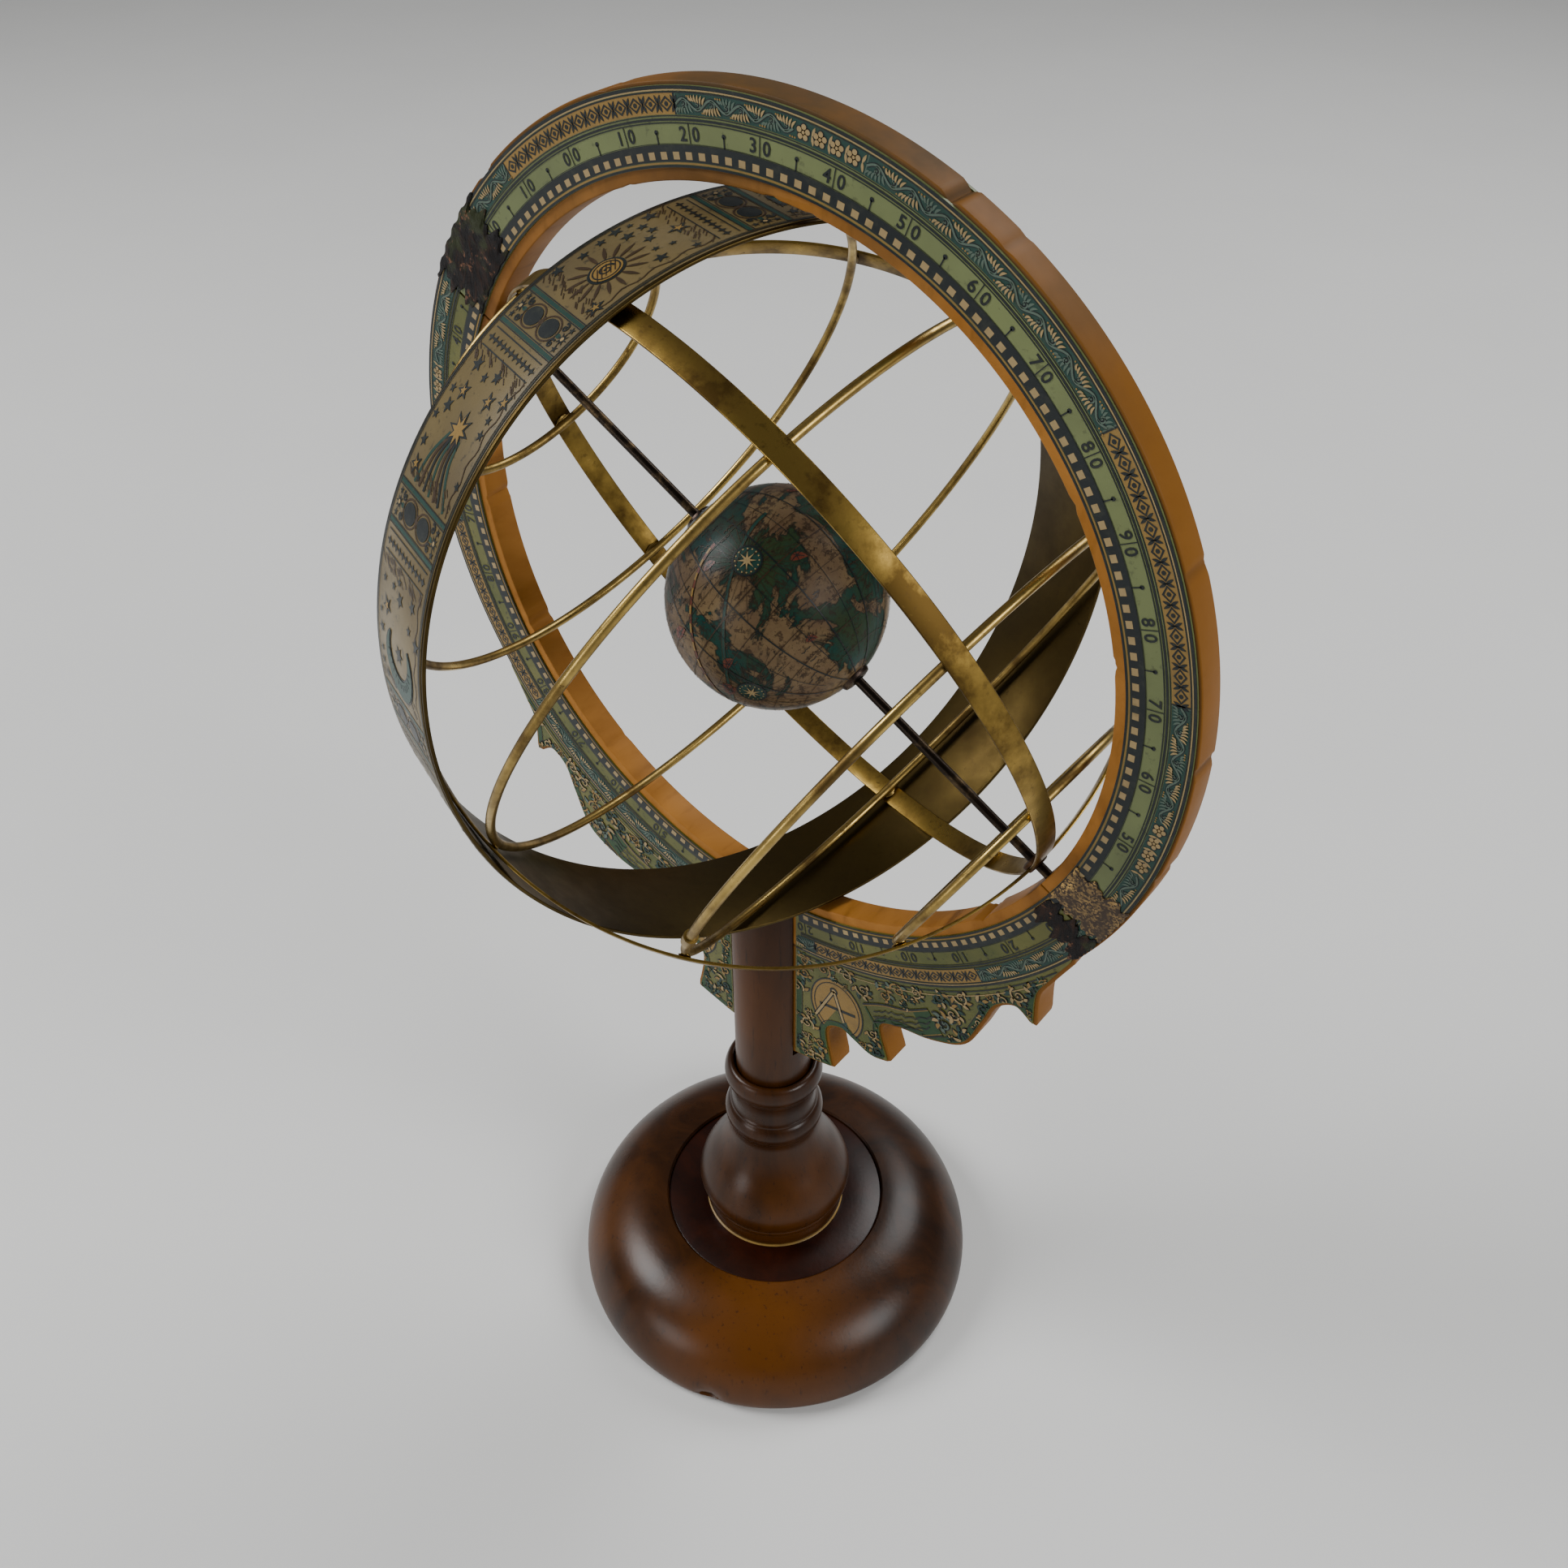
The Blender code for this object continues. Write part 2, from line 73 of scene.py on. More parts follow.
# sizes that follow the solids' design, in millimetres
GLOBE_RADIUS = 22.4
RING_INNER = 79.0
PRINT_INNER = 81.3
PRINT_OUTER = 94.3
PRINT_TOP = BOARD_HALF + 0.40
FRET_MARGIN = 0.9
CAGE_SLIP = 1.2
GLOBE_SLIP = 2.6
COLURE_AZIMUTH = math.radians(-28.9)
ZODIAC_AZIMUTH = math.radians(-37.5)
ZODIAC_TILT = math.radians(37.75)
WIRE_SPHERE = 72.9
WIRE_RADIUS = 0.95
TROPIC = math.radians(33.5)
POLAR_CIRCLE = math.radians(65.8)
COLURE_INNER = 74.1
COLURE_WIDTH = 4.7
ZODIAC_INNER = 75.0
ZODIAC_WIDTH = 25.6
ZODIAC_PRINT = 75.90
BORE_RADIUS = 1.05
LIFT = 0.014                           # one layer of ink over another
SCALE_ZERO = math.radians(-28.5)       # where the printed scale starts, clockwise from the top

UPRIGHT = Matrix.Identity(4)
POLAR = Matrix.Translation(CENTRE) @ Matrix.Rotation(POLE_TILT, 4, "Y")
CAGE = POLAR @ Matrix.Translation((0, 0, -CAGE_SLIP)) @ Matrix.Rotation(COLURE_AZIMUTH, 4, "Z")
GLOBE = POLAR @ Matrix.Translation((0, 0, -GLOBE_SLIP))
ZODIAC = (CAGE @ Matrix.Rotation(ZODIAC_AZIMUTH - COLURE_AZIMUTH, 4, "Z")
          @ Matrix.Rotation(-ZODIAC_TILT, 4, "Y"))


# ---------------------------------------------------------------- materials

class Material:
    """A Principled material whose nodes are added by short calls."""

    def __init__(self, name, roughness=0.4, metallic=0.0, **settings):
        self.material = bpy.data.materials.new(name)
        self.material.use_nodes = True
        self.tree = self.material.node_tree
        self.shader = self.tree.nodes["Principled BSDF"]
        self.set("Roughness", roughness)
        self.set("Metallic", metallic)
        for socket, value in settings.items():
            self.set(socket.replace("_", " "), value)

    def set(self, socket, value):
        target = self.shader.inputs[socket]
        if isinstance(value, bpy.types.NodeSocket):
            self.tree.links.new(value, target)
        else:
            target.default_value = value

    def add(self, kind, settings=None, **inputs):
        node = self.tree.nodes.new(kind)
        for key, value in (settings or {}).items():
            setattr(node, key, value)
        for key, value in inputs.items():
            socket = node.inputs[int(key[1:]) if key[0] == "i" and key[1:].isdigit() else key]
            if isinstance(value, bpy.types.NodeSocket):
                self.tree.links.new(value, socket)
            else:
                socket.default_value = value
        return node

    def where(self, stretch=(1, 1, 1)):
        place = self.add("ShaderNodeTexCoord").outputs["Object"]
        return self.add("ShaderNodeMapping", Vector=place, Scale=stretch).outputs[0]

    def noise(self, scale, detail=4.0, rough=0.55, stretch=(1, 1, 1), distortion=0.0):
        return self.add("ShaderNodeTexNoise", Vector=self.where(stretch), Scale=scale,
                        Detail=detail, Roughness=rough, Distortion=distortion).outputs["Fac"]

    def cell_colours(self, scale):
        return self.add("ShaderNodeTexVoronoi", Vector=self.where(), Scale=scale).outputs["Color"]

    def spread(self, value, low, high, start=0.0, end=1.0):
        node = self.add("ShaderNodeMapRange", {"clamp": True}, Value=value)
        for socket, number in (("From Min", low), ("From Max", high), ("To Min", start),
                               ("To Max", end)):
            node.inputs[socket].default_value = number
        return node.outputs[0]

    def vector(self, operation, first, second):
        return self.add("ShaderNodeVectorMath", {"operation": operation}, i0=first,
                        i1=tuple(second)).outputs

    def from_point(self, point):
        """The way from a point, in metres, to the place on the surface."""
        here = self.add("ShaderNodeTexCoord").outputs["Object"]
        return self.vector("SUBTRACT", here, point)["Vector"]

    def near(self, point, reach):
        """1 at a point, falling to 0 at a distance, both in millimetres."""
        here = self.add("ShaderNodeTexCoord").outputs["Object"]
        apart = self.vector("DISTANCE", here, Vector(point) * MM)["Value"]
        return self.spread(apart, 0.0, reach * MM, 1.0, 0.0)

    def calc(self, operation, first, second=0.0):
        return self.add("ShaderNodeMath", {"operation": operation}, i0=first, i1=second).outputs[0]

    def mix(self, factor, first, second):
        node = self.add("ShaderNodeMix", {"data_type": "RGBA"})
        for index, value in ((0, factor), (6, first), (7, second)):
            if isinstance(value, bpy.types.NodeSocket):
                self.tree.links.new(value, node.inputs[index])
            elif index:
                node.inputs[index].default_value = (*value, 1.0)
            else:
                node.inputs[index].default_value = value
        return node.outputs[2]

    def bump(self, height, distance, strength):
        """Relief of a height in millimetres."""
        node = self.add("ShaderNodeBump", Height=height, Distance=distance * MM,
                        Strength=strength)
        self.set("Normal", node.outputs[0])


# the warm colour of bare wood, also used for a painted reflection
BARE_WOOD_AND_SHEEN = (0.098, 0.030, 0.0018)
DARK_PORE = (0.006, 0.003, 0.002)


def mahogany(name, dark, warm, wear_and_sheen_places):
    """Varnished wood of two colours, warmer around the given places, where it is partly rubbed
    down to the bare wood and partly carries a painted reflection.
    """
    wood = Material(name, Specular_IOR_Level=0.24)
    grain = wood.noise(55, 6, 0.6, (1.0, 1.0, 0.22), 1.5)
    pores = wood.noise(900, 3, 0.6, (1.0, 1.0, 0.10))
    cloud = wood.noise(22, 4, 0.55)
    colour = wood.mix(wood.spread(grain, 0.32, 0.70), dark, warm)
    # warmer around each place: partly worn varnish, partly a painted reflection
    for place, reach, amount in wear_and_sheen_places:
        worn = wood.calc("MULTIPLY", wood.near(place, reach), wood.spread(cloud, 0.30, 0.62))
        worn = wood.spread(worn, 0.0, 0.6, 0.0, amount)
        colour = wood.mix(worn, colour, BARE_WOOD_AND_SHEEN)
    colour = wood.mix(wood.spread(pores, 0.60, 0.72, 0.0, 0.55), colour, DARK_PORE)
    wood.set("Base Color", colour)
    wood.set("Roughness", wood.spread(cloud, 0.25, 0.75, 0.24, 0.38))
    wood.bump(pores, 0.06, 0.35)
    return wood.material


def board_wood():
    """The ring's wood: darker on its rim, with a painted shadow line along the paper's outer edge
    and painted shade that darkens the top of the ring in blotches, most around its upper pole."""
    wood = Material("board_wood", Specular_IOR_Level=0.12)
    grain = wood.noise(38, 5, 0.6, (1.0, 0.35, 1.0), 2.0)
    fibre = wood.noise(420, 4, 0.6, (1.0, 0.2, 0.45))
    blotch = wood.noise(26, 5, 0.6)
    colour = wood.mix(wood.spread(grain, 0.30, 0.70), (0.250, 0.098, 0.0130), (0.370, 0.158, 0.030))
    colour = wood.mix(wood.spread(fibre, 0.55, 0.75, 0.0, 0.40), colour, (0.125, 0.047, 0.003))
    centred = wood.vector("MULTIPLY", wood.from_point(CENTRE * MM), (1.0, 0.0, 1.0))["Vector"]
    reach = wood.vector("LENGTH", centred, (0.0, 0.0, 0.0))["Value"]
    rim = wood.spread(reach, (RING_OUTER - 1.2) * MM, (RING_OUTER - 0.4) * MM)
    colour = wood.mix(wood.calc("MULTIPLY", rim, 0.85), colour, (0.165, 0.064, 0.0060))
    # painted shadow line on the wood along the paper's outer edge
    from_edge = wood.calc("ABSOLUTE", wood.calc("SUBTRACT", reach, PRINT_OUTER * MM))
    under = wood.spread(from_edge, 0.1 * MM, 0.6 * MM, 0.75, 0.0)
    colour = wood.mix(under, colour, (0.045, 0.022, 0.006))
    # painted shade: the top of the ring darker in blotches, and darker still around its upper pole
    high = wood.add("ShaderNodeSeparateXYZ",
                    Vector=wood.add("ShaderNodeTexCoord").outputs["Object"]).outputs["Z"]
    upper = wood.spread(high, (CENTRE.z + 45) * MM, (CENTRE.z + 90) * MM)
    ring_top_shade = wood.calc("MULTIPLY", upper, wood.spread(blotch, 0.36, 0.62))
    colour = wood.mix(wood.calc("MULTIPLY", ring_top_shade, 0.85), colour, (0.050, 0.034, 0.016))
    ring_pole_shade = wood.calc("MULTIPLY", wood.near(CENTRE + POLE * RING_OUTER, 34),
                         wood.spread(blotch, 0.35, 0.6))
    colour = wood.mix(ring_pole_shade, colour, (0.030, 0.014, 0.009))
    colour = wood.mix(wood.spread(blotch, 0.60, 0.78, 0.0, 0.45), colour, (0.17, 0.062, 0.012))
    wood.set("Base Color", colour)
    wood.set("Roughness", wood.spread(blotch, 0.3, 0.7, 0.42, 0.62))
    wood.bump(wood.noise(160, 5, 0.6), 0.12, 0.5)
    return wood.material


def brass(name, gold, patina, patina_low, patina_high):
    """Brass of two colours, tarnished where the noise passes the two patina levels."""
    metal = Material(name, metallic=1.0)
    cloud = metal.noise(70, 7, 0.62)
    fine = metal.noise(650, 4, 0.6)
    spots = metal.noise(240, 5, 0.7)
    tarnish = metal.spread(cloud, patina_low, patina_high)
    tarnish = metal.calc("MAXIMUM", tarnish, metal.spread(spots, 0.60, 0.70))
    colour = metal.mix(tarnish, gold, patina)
    colour = metal.mix(metal.spread(fine, 0.58, 0.72, 0.0, 0.5), colour, (0.05, 0.03, 0.012))
    metal.set("Base Color", colour)
    metal.set("Roughness", metal.spread(tarnish, 0.0, 1.0, 0.27, 0.50))
    metal.bump(metal.calc("ADD", metal.calc("MULTIPLY", fine, 0.5), spots), 0.05, 0.5)
    return metal.material


def dark_metal(name, colour, shine):
    metal = Material(name, metallic=1.0)
    wear = metal.noise(180, 6, 0.65)
    metal.set("Base Color", metal.mix(metal.spread(wear, 0.50, 0.72), colour, shine))
    metal.set("Roughness", metal.spread(wear, 0.3, 0.7, 0.30, 0.5))
    metal.bump(metal.noise(900, 3), 0.04, 0.4)
    return metal.material


def paper(name, base, stain, dirt=0.35):
    sheet = Material(name, Specular_IOR_Level=0.25, Coat_Weight=0.06, Coat_Roughness=0.25)
    cloud = sheet.noise(45, 5, 0.6)
    fleck = sheet.noise(700, 3, 0.6)
    colour = sheet.mix(sheet.spread(cloud, 0.30, 0.72), base, stain)
    colour = sheet.mix(sheet.spread(fleck, 0.60, 0.70, 0.0, dirt), colour, (0.02, 0.018, 0.012))
    sheet.set("Base Color", colour)
    sheet.set("Roughness", sheet.spread(cloud, 0.3, 0.7, 0.28, 0.46))
    sheet.bump(sheet.noise(300, 4), 0.05, 0.4)
    return sheet.material


def ink(name, colour, worn):
    """Printing ink that lets a little of the paper through where it has rubbed."""
    film = Material(name, roughness=0.40, Specular_IOR_Level=0.25, Coat_Weight=0.06,
                    Coat_Roughness=0.25)
    rub = film.noise(420, 5, 0.65)
    cloud = film.noise(60, 4, 0.6)
    shade = film.mix(film.spread(rub, 0.52, 0.72, 0.0, 0.75), colour, worn)
    darker = tuple(channel * 0.45 for channel in colour)
    film.set("Base Color", film.mix(film.spread(cloud, 0.35, 0.7, 0.0, 0.35), shade, darker))
    film.bump(rub, 0.03, 0.4)
    return film.material


def globe_paper():
    """The globe's printed map: sea and land with inked coasts, and painted shade that darkens it
    towards its upper pole.
    """
    sheet = Material("globe_map", roughness=0.36, Specular_IOR_Level=0.14)
    shape = sheet.noise(62, 8, 0.60, (1.0, 1.0, 1.0), 0.7)
    stain = sheet.noise(70, 5, 0.65)
    scribble = sheet.noise(620, 6, 0.75)
    hatch = sheet.noise(1500, 2, 0.5, (1.0, 0.25, 0.25))
    sea = sheet.mix(sheet.spread(stain, 0.32, 0.68), (0.190, 0.130, 0.062), (0.090, 0.052, 0.030))
    land = sheet.mix(sheet.spread(stain, 0.35, 0.65), (0.003, 0.046, 0.040), (0.024, 0.040, 0.016))
    edge = 0.510
    from_coast = sheet.calc("ABSOLUTE", sheet.calc("SUBTRACT", shape, edge))
    coast = sheet.spread(from_coast, 0.0, 0.016, 1.0, 0.0)
    fringe = sheet.spread(shape, edge - 0.030, edge, 0.0, 1.0)
    colour = sheet.mix(sheet.calc("MULTIPLY", fringe, 0.5), sea, (0.075, 0.060, 0.034))
    colour = sheet.mix(sheet.spread(shape, edge, edge + 0.006), colour, land)
    colour = sheet.mix(sheet.calc("MULTIPLY", coast, 0.9), colour, (0.004, 0.009, 0.008))
    colour = sheet.mix(sheet.spread(scribble, 0.54, 0.58, 0.0, 0.7), colour,
                       (0.024, 0.013, 0.008))
    colour = sheet.mix(sheet.spread(hatch, 0.60, 0.66, 0.0, 0.35), colour, (0.012, 0.010, 0.007))
    # painted shade: the globe darker towards its upper pole
    height = sheet.vector("DOT_PRODUCT", sheet.from_point(CENTRE * MM), POLE)["Value"]
    globe_top_shade = sheet.spread(height, GLOBE_RADIUS * 0.05 * MM, GLOBE_RADIUS * 0.95 * MM, 0.0, 0.80)
    colour = sheet.mix(globe_top_shade, colour, (0.026, 0.020, 0.022))
    sheet.set("Base Color", colour)
    sheet.set("Roughness", sheet.spread(stain, 0.3, 0.7, 0.28, 0.48))
    sheet.bump(sheet.noise(140, 6), 0.16, 0.5)
    return sheet.material


def torn_patch():
    """A blackened, crumpled sheet with green remains and pink-brown flakes."""
    scab = Material("torn_patch", Specular_IOR_Level=0.16)
    crumple = scab.noise(260, 9, 0.72, (1.0, 1.0, 0.45), 1.6)
    cloud = scab.noise(120, 5, 0.6)
    flake = scab.noise(420, 6, 0.7)
    colour = scab.mix(scab.spread(crumple, 0.50, 0.72), (0.0030, 0.0018, 0.0022),
                      (0.048, 0.022, 0.013))
    colour = scab.mix(scab.spread(cloud, 0.55, 0.62, 0.0, 0.7), colour, (0.030, 0.038, 0.011))
    colour = scab.mix(scab.spread(flake, 0.59, 0.64, 0.0, 0.85), colour, (0.190, 0.085, 0.045))
    scab.set("Base Color", colour)
    scab.set("Roughness", scab.spread(crumple, 0.3, 0.7, 0.22, 0.6))
    scab.bump(crumple, 0.8, 0.9)
    return scab.material


def glitter_patch():
    """A brown sheet set with metal flakes."""
    dust = Material("glitter_patch")
    flake = dust.cell_colours(2600)
    value = dust.add("ShaderNodeSeparateColor", Color=flake).outputs[0]
    cloud = dust.noise(150, 4, 0.6)
    bright = dust.calc("MULTIPLY", dust.spread(value, 0.45, 0.8), dust.spread(cloud, 0.36, 0.60))
    dust.set("Base Color", dust.mix(bright, (0.030, 0.015, 0.006), (0.44, 0.28, 0.10)))
    dust.set("Metallic", dust.spread(bright, 0.0, 1.0, 0.15, 0.9))
    dust.set("Roughness", dust.spread(bright, 0.0, 1.0, 0.6, 0.24))
    dust.bump(value, 0.22, 0.8)
    return dust.material


def plain(name, colour, roughness, scale):
    matter = Material(name, roughness=roughness)
    darker = tuple(channel * 0.94 for channel in colour)
    matter.set("Base Color", matter.mix(matter.noise(scale, 3), colour, darker))
    return matter.material


# where the varnish is worn, and where a warm painted reflection lies: place and reach in
# millimetres, and how far
BASE_WEAR_AND_SHEEN = (((19, -37, 14), 38, 0.80), ((-33, -32, 6), 34, 0.62), ((40, -42, 4), 20, 0.40),
             ((12, -16, 40), 30, 0.55), ((4, -10, 110), 40, 0.45))
LOOKS = {
    "mahogany": mahogany("mahogany", (0.0100, 0.0033, 0.0010), (0.040, 0.0130, 0.0026),
                         BASE_WEAR_AND_SHEEN),
    "inner_disc": mahogany("inner_disc", (0.0085, 0.0016, 0.0006), (0.026, 0.0048, 0.0010), ()),
    "board_wood": board_wood(),
    "brass": brass("aged_brass", (0.36, 0.235, 0.055), (0.078, 0.046, 0.012), 0.38, 0.62),
    "wire_brass": brass("wire_brass", (0.46, 0.32, 0.095), (0.12, 0.075, 0.024), 0.38, 0.64),
    "zodiac_brass": brass("zodiac_brass", (0.088, 0.060, 0.018), (0.040, 0.026, 0.009), 0.20,
                          0.70),
    "rod": dark_metal("rod_steel", (0.024, 0.018, 0.014), (0.15, 0.10, 0.05)),
    "cap": dark_metal("cap_metal", (0.045, 0.032, 0.026), (0.15, 0.105, 0.07)),
    "bead": brass("bead_brass", (0.30, 0.20, 0.085), (0.075, 0.040, 0.022), 0.34, 0.58),
    "ring_paper": paper("ring_paper", (0.152, 0.180, 0.068), (0.105, 0.125, 0.050)),
    "zodiac_paper": paper("zodiac_paper", (0.160, 0.118, 0.047), (0.085, 0.061, 0.026), 0.7),
    "bracket_paper": paper("bracket_paper", (0.140, 0.128, 0.026), (0.055, 0.070, 0.016), 0.7),
    "globe": globe_paper(),
    "torn": torn_patch(),
    "glitter": glitter_patch(),
    "felt": plain("felt", (0.03, 0.06, 0.04), 0.95, 900.0),
    "floor": plain("floor", (0.70, 0.70, 0.69), 0.62, 9.0),
}
# each ink's colour, and its colour where it has rubbed
INKS = {
    "dark": ((0.008, 0.012, 0.013), (0.030, 0.034, 0.025)),
    "cream": ((0.330, 0.235, 0.105), (0.21, 0.15, 0.06)),
    "teal": ((0.010, 0.044, 0.034), (0.030, 0.055, 0.030)),
    "blue": ((0.080, 0.120, 0.092), (0.075, 0.095, 0.055)),
    "ochre": ((0.250, 0.150, 0.036), (0.17, 0.11, 0.035)),
    "green": ((0.012, 0.050, 0.012), (0.040, 0.062, 0.016)),
    "rust": ((0.120, 0.026, 0.013), (0.13, 0.06, 0.03)),
    "brown": ((0.040, 0.022, 0.010), (0.075, 0.050, 0.024)),
}
# from the first ink printed to the last, which lies highest
INK_ORDER = ("green", "blue", "ochre", "teal", "rust", "brown", "dark", "cream")
LOOKS.update({"ink_" + name: ink("ink_" + name, *colours) for name, colours in INKS.items()})


# ---------------------------------------------------------------- mesh helpers

def finish_piece(name, mesh, look, body, nodes=(), sharp=38.0):
    """Puts a mesh on its body with its look, in place of the CAD nodes that it replaces."""
    piece = bpy.data.objects.new(name, mesh)
    bpy.context.scene.collection.objects.link(piece)
    mesh.materials.append(LOOKS[look])
    if sharp:
        mesh.shade_smooth()
        mesh.set_sharp_from_angle(angle=math.radians(sharp))
    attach(piece, body)
    if nodes:
        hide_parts(*nodes)


def mesh_from(bm, name, turn_faces=True):
    if turn_faces:
        bmesh.ops.recalc_face_normals(bm, faces=bm.faces)
    bm.transform(Matrix.Scale(MM, 4))
    mesh = bpy.data.meshes.new(name)
    bm.to_mesh(mesh)
    bm.free()
    return mesh


def evaluated_mesh(holder):
    """The mesh of an object with its curve or modifiers worked out; the object is removed."""
    depsgraph = bpy.context.evaluated_depsgraph_get()
    mesh = bpy.data.meshes.new_from_object(holder.evaluated_get(depsgraph))
    bpy.data.objects.remove(holder, do_unlink=True)
    return mesh


def linked_object(name, data):
    holder = bpy.data.objects.new(name, data)
    bpy.context.scene.collection.objects.link(holder)
    return holder


def on_circle(centre, radius, angle, squash=1.0):
    return (centre[0] + radius * math.cos(angle), centre[1] + squash * radius * math.sin(angle))


def circle(centre, radius, sides, squash=1.0):
    return [on_circle(centre, radius, math.tau * i / sides, squash) for i in range(sides)]


def smooth_run(points, steps):
    """A smooth curve through points, as a list of tuples of the same length."""
    ends = [points[0]] + list(points) + [points[-1]]
    result = []
    for i in range(1, len(ends) - 2):
        a, b, c, d = (Vector(p) for p in ends[i - 1:i + 3])
        for step in range(steps):
            t = step / steps
            result.append(tuple(0.5 * (2 * b + (c - a) * t + (2 * a - 5 * b + 4 * c - d) * t ** 2
                                       + (3 * b - a - 3 * c + d) * t ** 3)))
    return result + [tuple(points[-1])]


def lathe(name, profile, look, nodes=(), matrix=UPRIGHT, steps=128, body="stand"):
    """A piece turned about local Z from a closed (radius, height) loop."""
    finish_piece(name, lathe_mesh(name, profile, matrix, steps), look, body, nodes)


def lathe_mesh(name, profile, matrix, steps):
    bm = bmesh.new()
    rings = []
    for r, z in profile:
        if r < 0.0001:
            rings.append([bm.verts.new(matrix @ Vector((0, 0, z)))])
        else:
            rings.append([bm.verts.new(matrix @ Vector((*place, z)))
                          for place in circle((0, 0), r, steps)])
    for here, there in zip(rings, rings[1:] + rings[:1]):
        if len(here) == 1 and len(there) == 1:
            continue
        for i in range(steps):
            j = (i + 1) % steps
            if len(here) == 1:
                bm.faces.new((here[0], there[i], there[j]))
            elif len(there) == 1:
                bm.faces.new((here[i], there[0], here[j]))
            else:
                bm.faces.new((here[i], there[i], there[j], here[j]))
    return mesh_from(bm, name)


def hoop_mesh(name, section, matrix, steps, start=0.0, sweep=math.tau, wobble=0.0):
    """A (radius, height) section swept round local Z, whole or part of a turn."""
    bm = bmesh.new()
    whole = math.isclose(sweep, math.tau)
    rings = []
    for step in range(steps if whole else steps + 1):
        angle = start + sweep * step / steps
        swell = wobble * (math.sin(3 * angle + 0.7) + 0.6 * math.sin(5 * angle + 2.1))
        rings.append([bm.verts.new(matrix @ Vector((*on_circle((0, 0), r + swell, angle), z)))
                      for r, z in section])
    pairs = list(zip(rings, rings[1:]))
    if whole:
        pairs.append((rings[-1], rings[0]))
    for here, there in pairs:
        for i in range(len(section)):
            j = (i + 1) % len(section)
            bm.faces.new((here[i], here[j], there[j], there[i]))
    if not whole:
        bm.faces.new(rings[0][::-1])
        bm.faces.new(rings[-1])
    return mesh_from(bm, name)


def strip_section(inner, outer, half_width, rounding):
    """The rounded section of a flat strip, as a (radius, height) loop."""
    points = []
    for r, z, first in ((outer, half_width, 0), (inner, half_width, 90),
                        (inner, -half_width, 180), (outer, -half_width, 270)):
        corner = (r - math.copysign(rounding, r - (inner + outer) / 2),
                  z - math.copysign(rounding, z))
        points += [on_circle(corner, rounding, math.radians(first + 30 * step))
                   for step in range(4)]
    return points


def arc(radius, start, end, steps):
    """(x, z) points about the ring centre, by angle clockwise from the top."""
    angles = [start + (end - start) * i / steps for i in range(steps + 1)]
    return [(radius * math.sin(angle), radius * math.cos(angle)) for angle in angles]


FRET_RUNS = (
    ((78.6, -53.0), (74.6, -61.2), (72.3, -67.0), (72.6, -75.6)),
    ((72.6, -75.6), (68.0, -73.0), (63.2, -76.5), (60.5, -84.0), (56.5, -93.5), (48.0, -98.3),
     (39.5, -100.4), (34.6, -104.2), (37.3, -114.3)),
    ((37.3, -114.3), (32.5, -115.6), (27.5, -113.8), (23.4, -112.6), (19.2, -116.6),
     (21.2, -128.6)),
    ((21.2, -128.6), (10.0, -131.4), (0.0, -132.6)),
)


def fret_outline():
    """The print's edge on the scalloped bracket's right side, from the ring to the post."""
    points = []
    for run in FRET_RUNS:
        points += smooth_run(run, 7)[:-1]
    return points


def grown(points, distance):
    """An open outline moved to its left as it is walked, by its mean normals."""
    result = []
    for i, (x, z) in enumerate(points):
        before = Vector(points[max(i - 1, 0)])
        after = Vector(points[min(i + 1, len(points) - 1)])
        along = (after - before).normalized()
        result.append((x - along.y * distance, z + along.x * distance))
    return result


def lower_edge(radius, margin, start, end):
    """The outer edge of the lower half, round the fretwork, from its right end to its left."""
    right = grown(fret_outline(), margin) if margin else fret_outline()
    right = [p for p in right if Vector(p).length > radius + 0.4 and p[0] > 0]
    join = math.atan2(right[0][0], right[0][1])
    gap = math.radians(0.6)
    left = [(-x, z) for x, z in reversed(right)]
    return (arc(radius, start, join - gap, 8) + right + left
            + arc(radius, math.tau - join + gap, end, 60))


def plate_mesh(name, loop, y_low, y_high, rounding=0.0):
    """A flat plate in the board's plane from an (x, z) outline, its edges a little rounded."""
    curve = bpy.data.curves.new(name, "CURVE")
    curve.dimensions = "2D"
    curve.fill_mode = "BOTH"
    curve.extrude = ((y_high - y_low) / 2 - rounding) * MM
    curve.bevel_depth = rounding * MM
    curve.bevel_resolution = 2
    curve.offset = -rounding * MM
    spline = curve.splines.new("POLY")
    spline.points.add(len(loop) - 1)
    for point, (x, z) in zip(spline.points, loop):
        point.co = (x * MM, z * MM, 0.0, 1.0)
    spline.use_cyclic_u = True
    mesh = evaluated_mesh(linked_object(name + "_outline", curve))
    bpy.data.curves.remove(curve)
    bm = bmesh.new()
    bm.from_mesh(mesh)
    bmesh.ops.remove_doubles(bm, verts=bm.verts, dist=0.005 * MM)
    bm.transform(Matrix.Translation(Vector((0, (y_low + y_high) / 2, CENTRE.z)) * MM)
                 @ Matrix.Rotation(math.pi / 2, 4, "X"))
    bm.to_mesh(mesh)
    bm.free()
    mesh.materials.clear()
    return mesh


def cut_box(mesh, low, high):
    """The mesh with a box cut out of it."""
    bm = bmesh.new()
    bmesh.ops.create_cube(bm, size=1.0)
    bmesh.ops.scale(bm, vec=Vector(high) - Vector(low), verts=bm.verts)
    bmesh.ops.translate(bm, vec=(Vector(high) + Vector(low)) / 2, verts=bm.verts)
    cutter = linked_object("cutter", mesh_from(bm, "cutter"))
    holder = linked_object("cut_piece", mesh)
    modifier = holder.modifiers.new("cut", "BOOLEAN")
    modifier.operation = "DIFFERENCE"
    modifier.object = cutter
    result = evaluated_mesh(holder)
    bpy.data.objects.remove(cutter, do_unlink=True)
    result.materials.clear()
    return result


# ---------------------------------------------------------------- printing

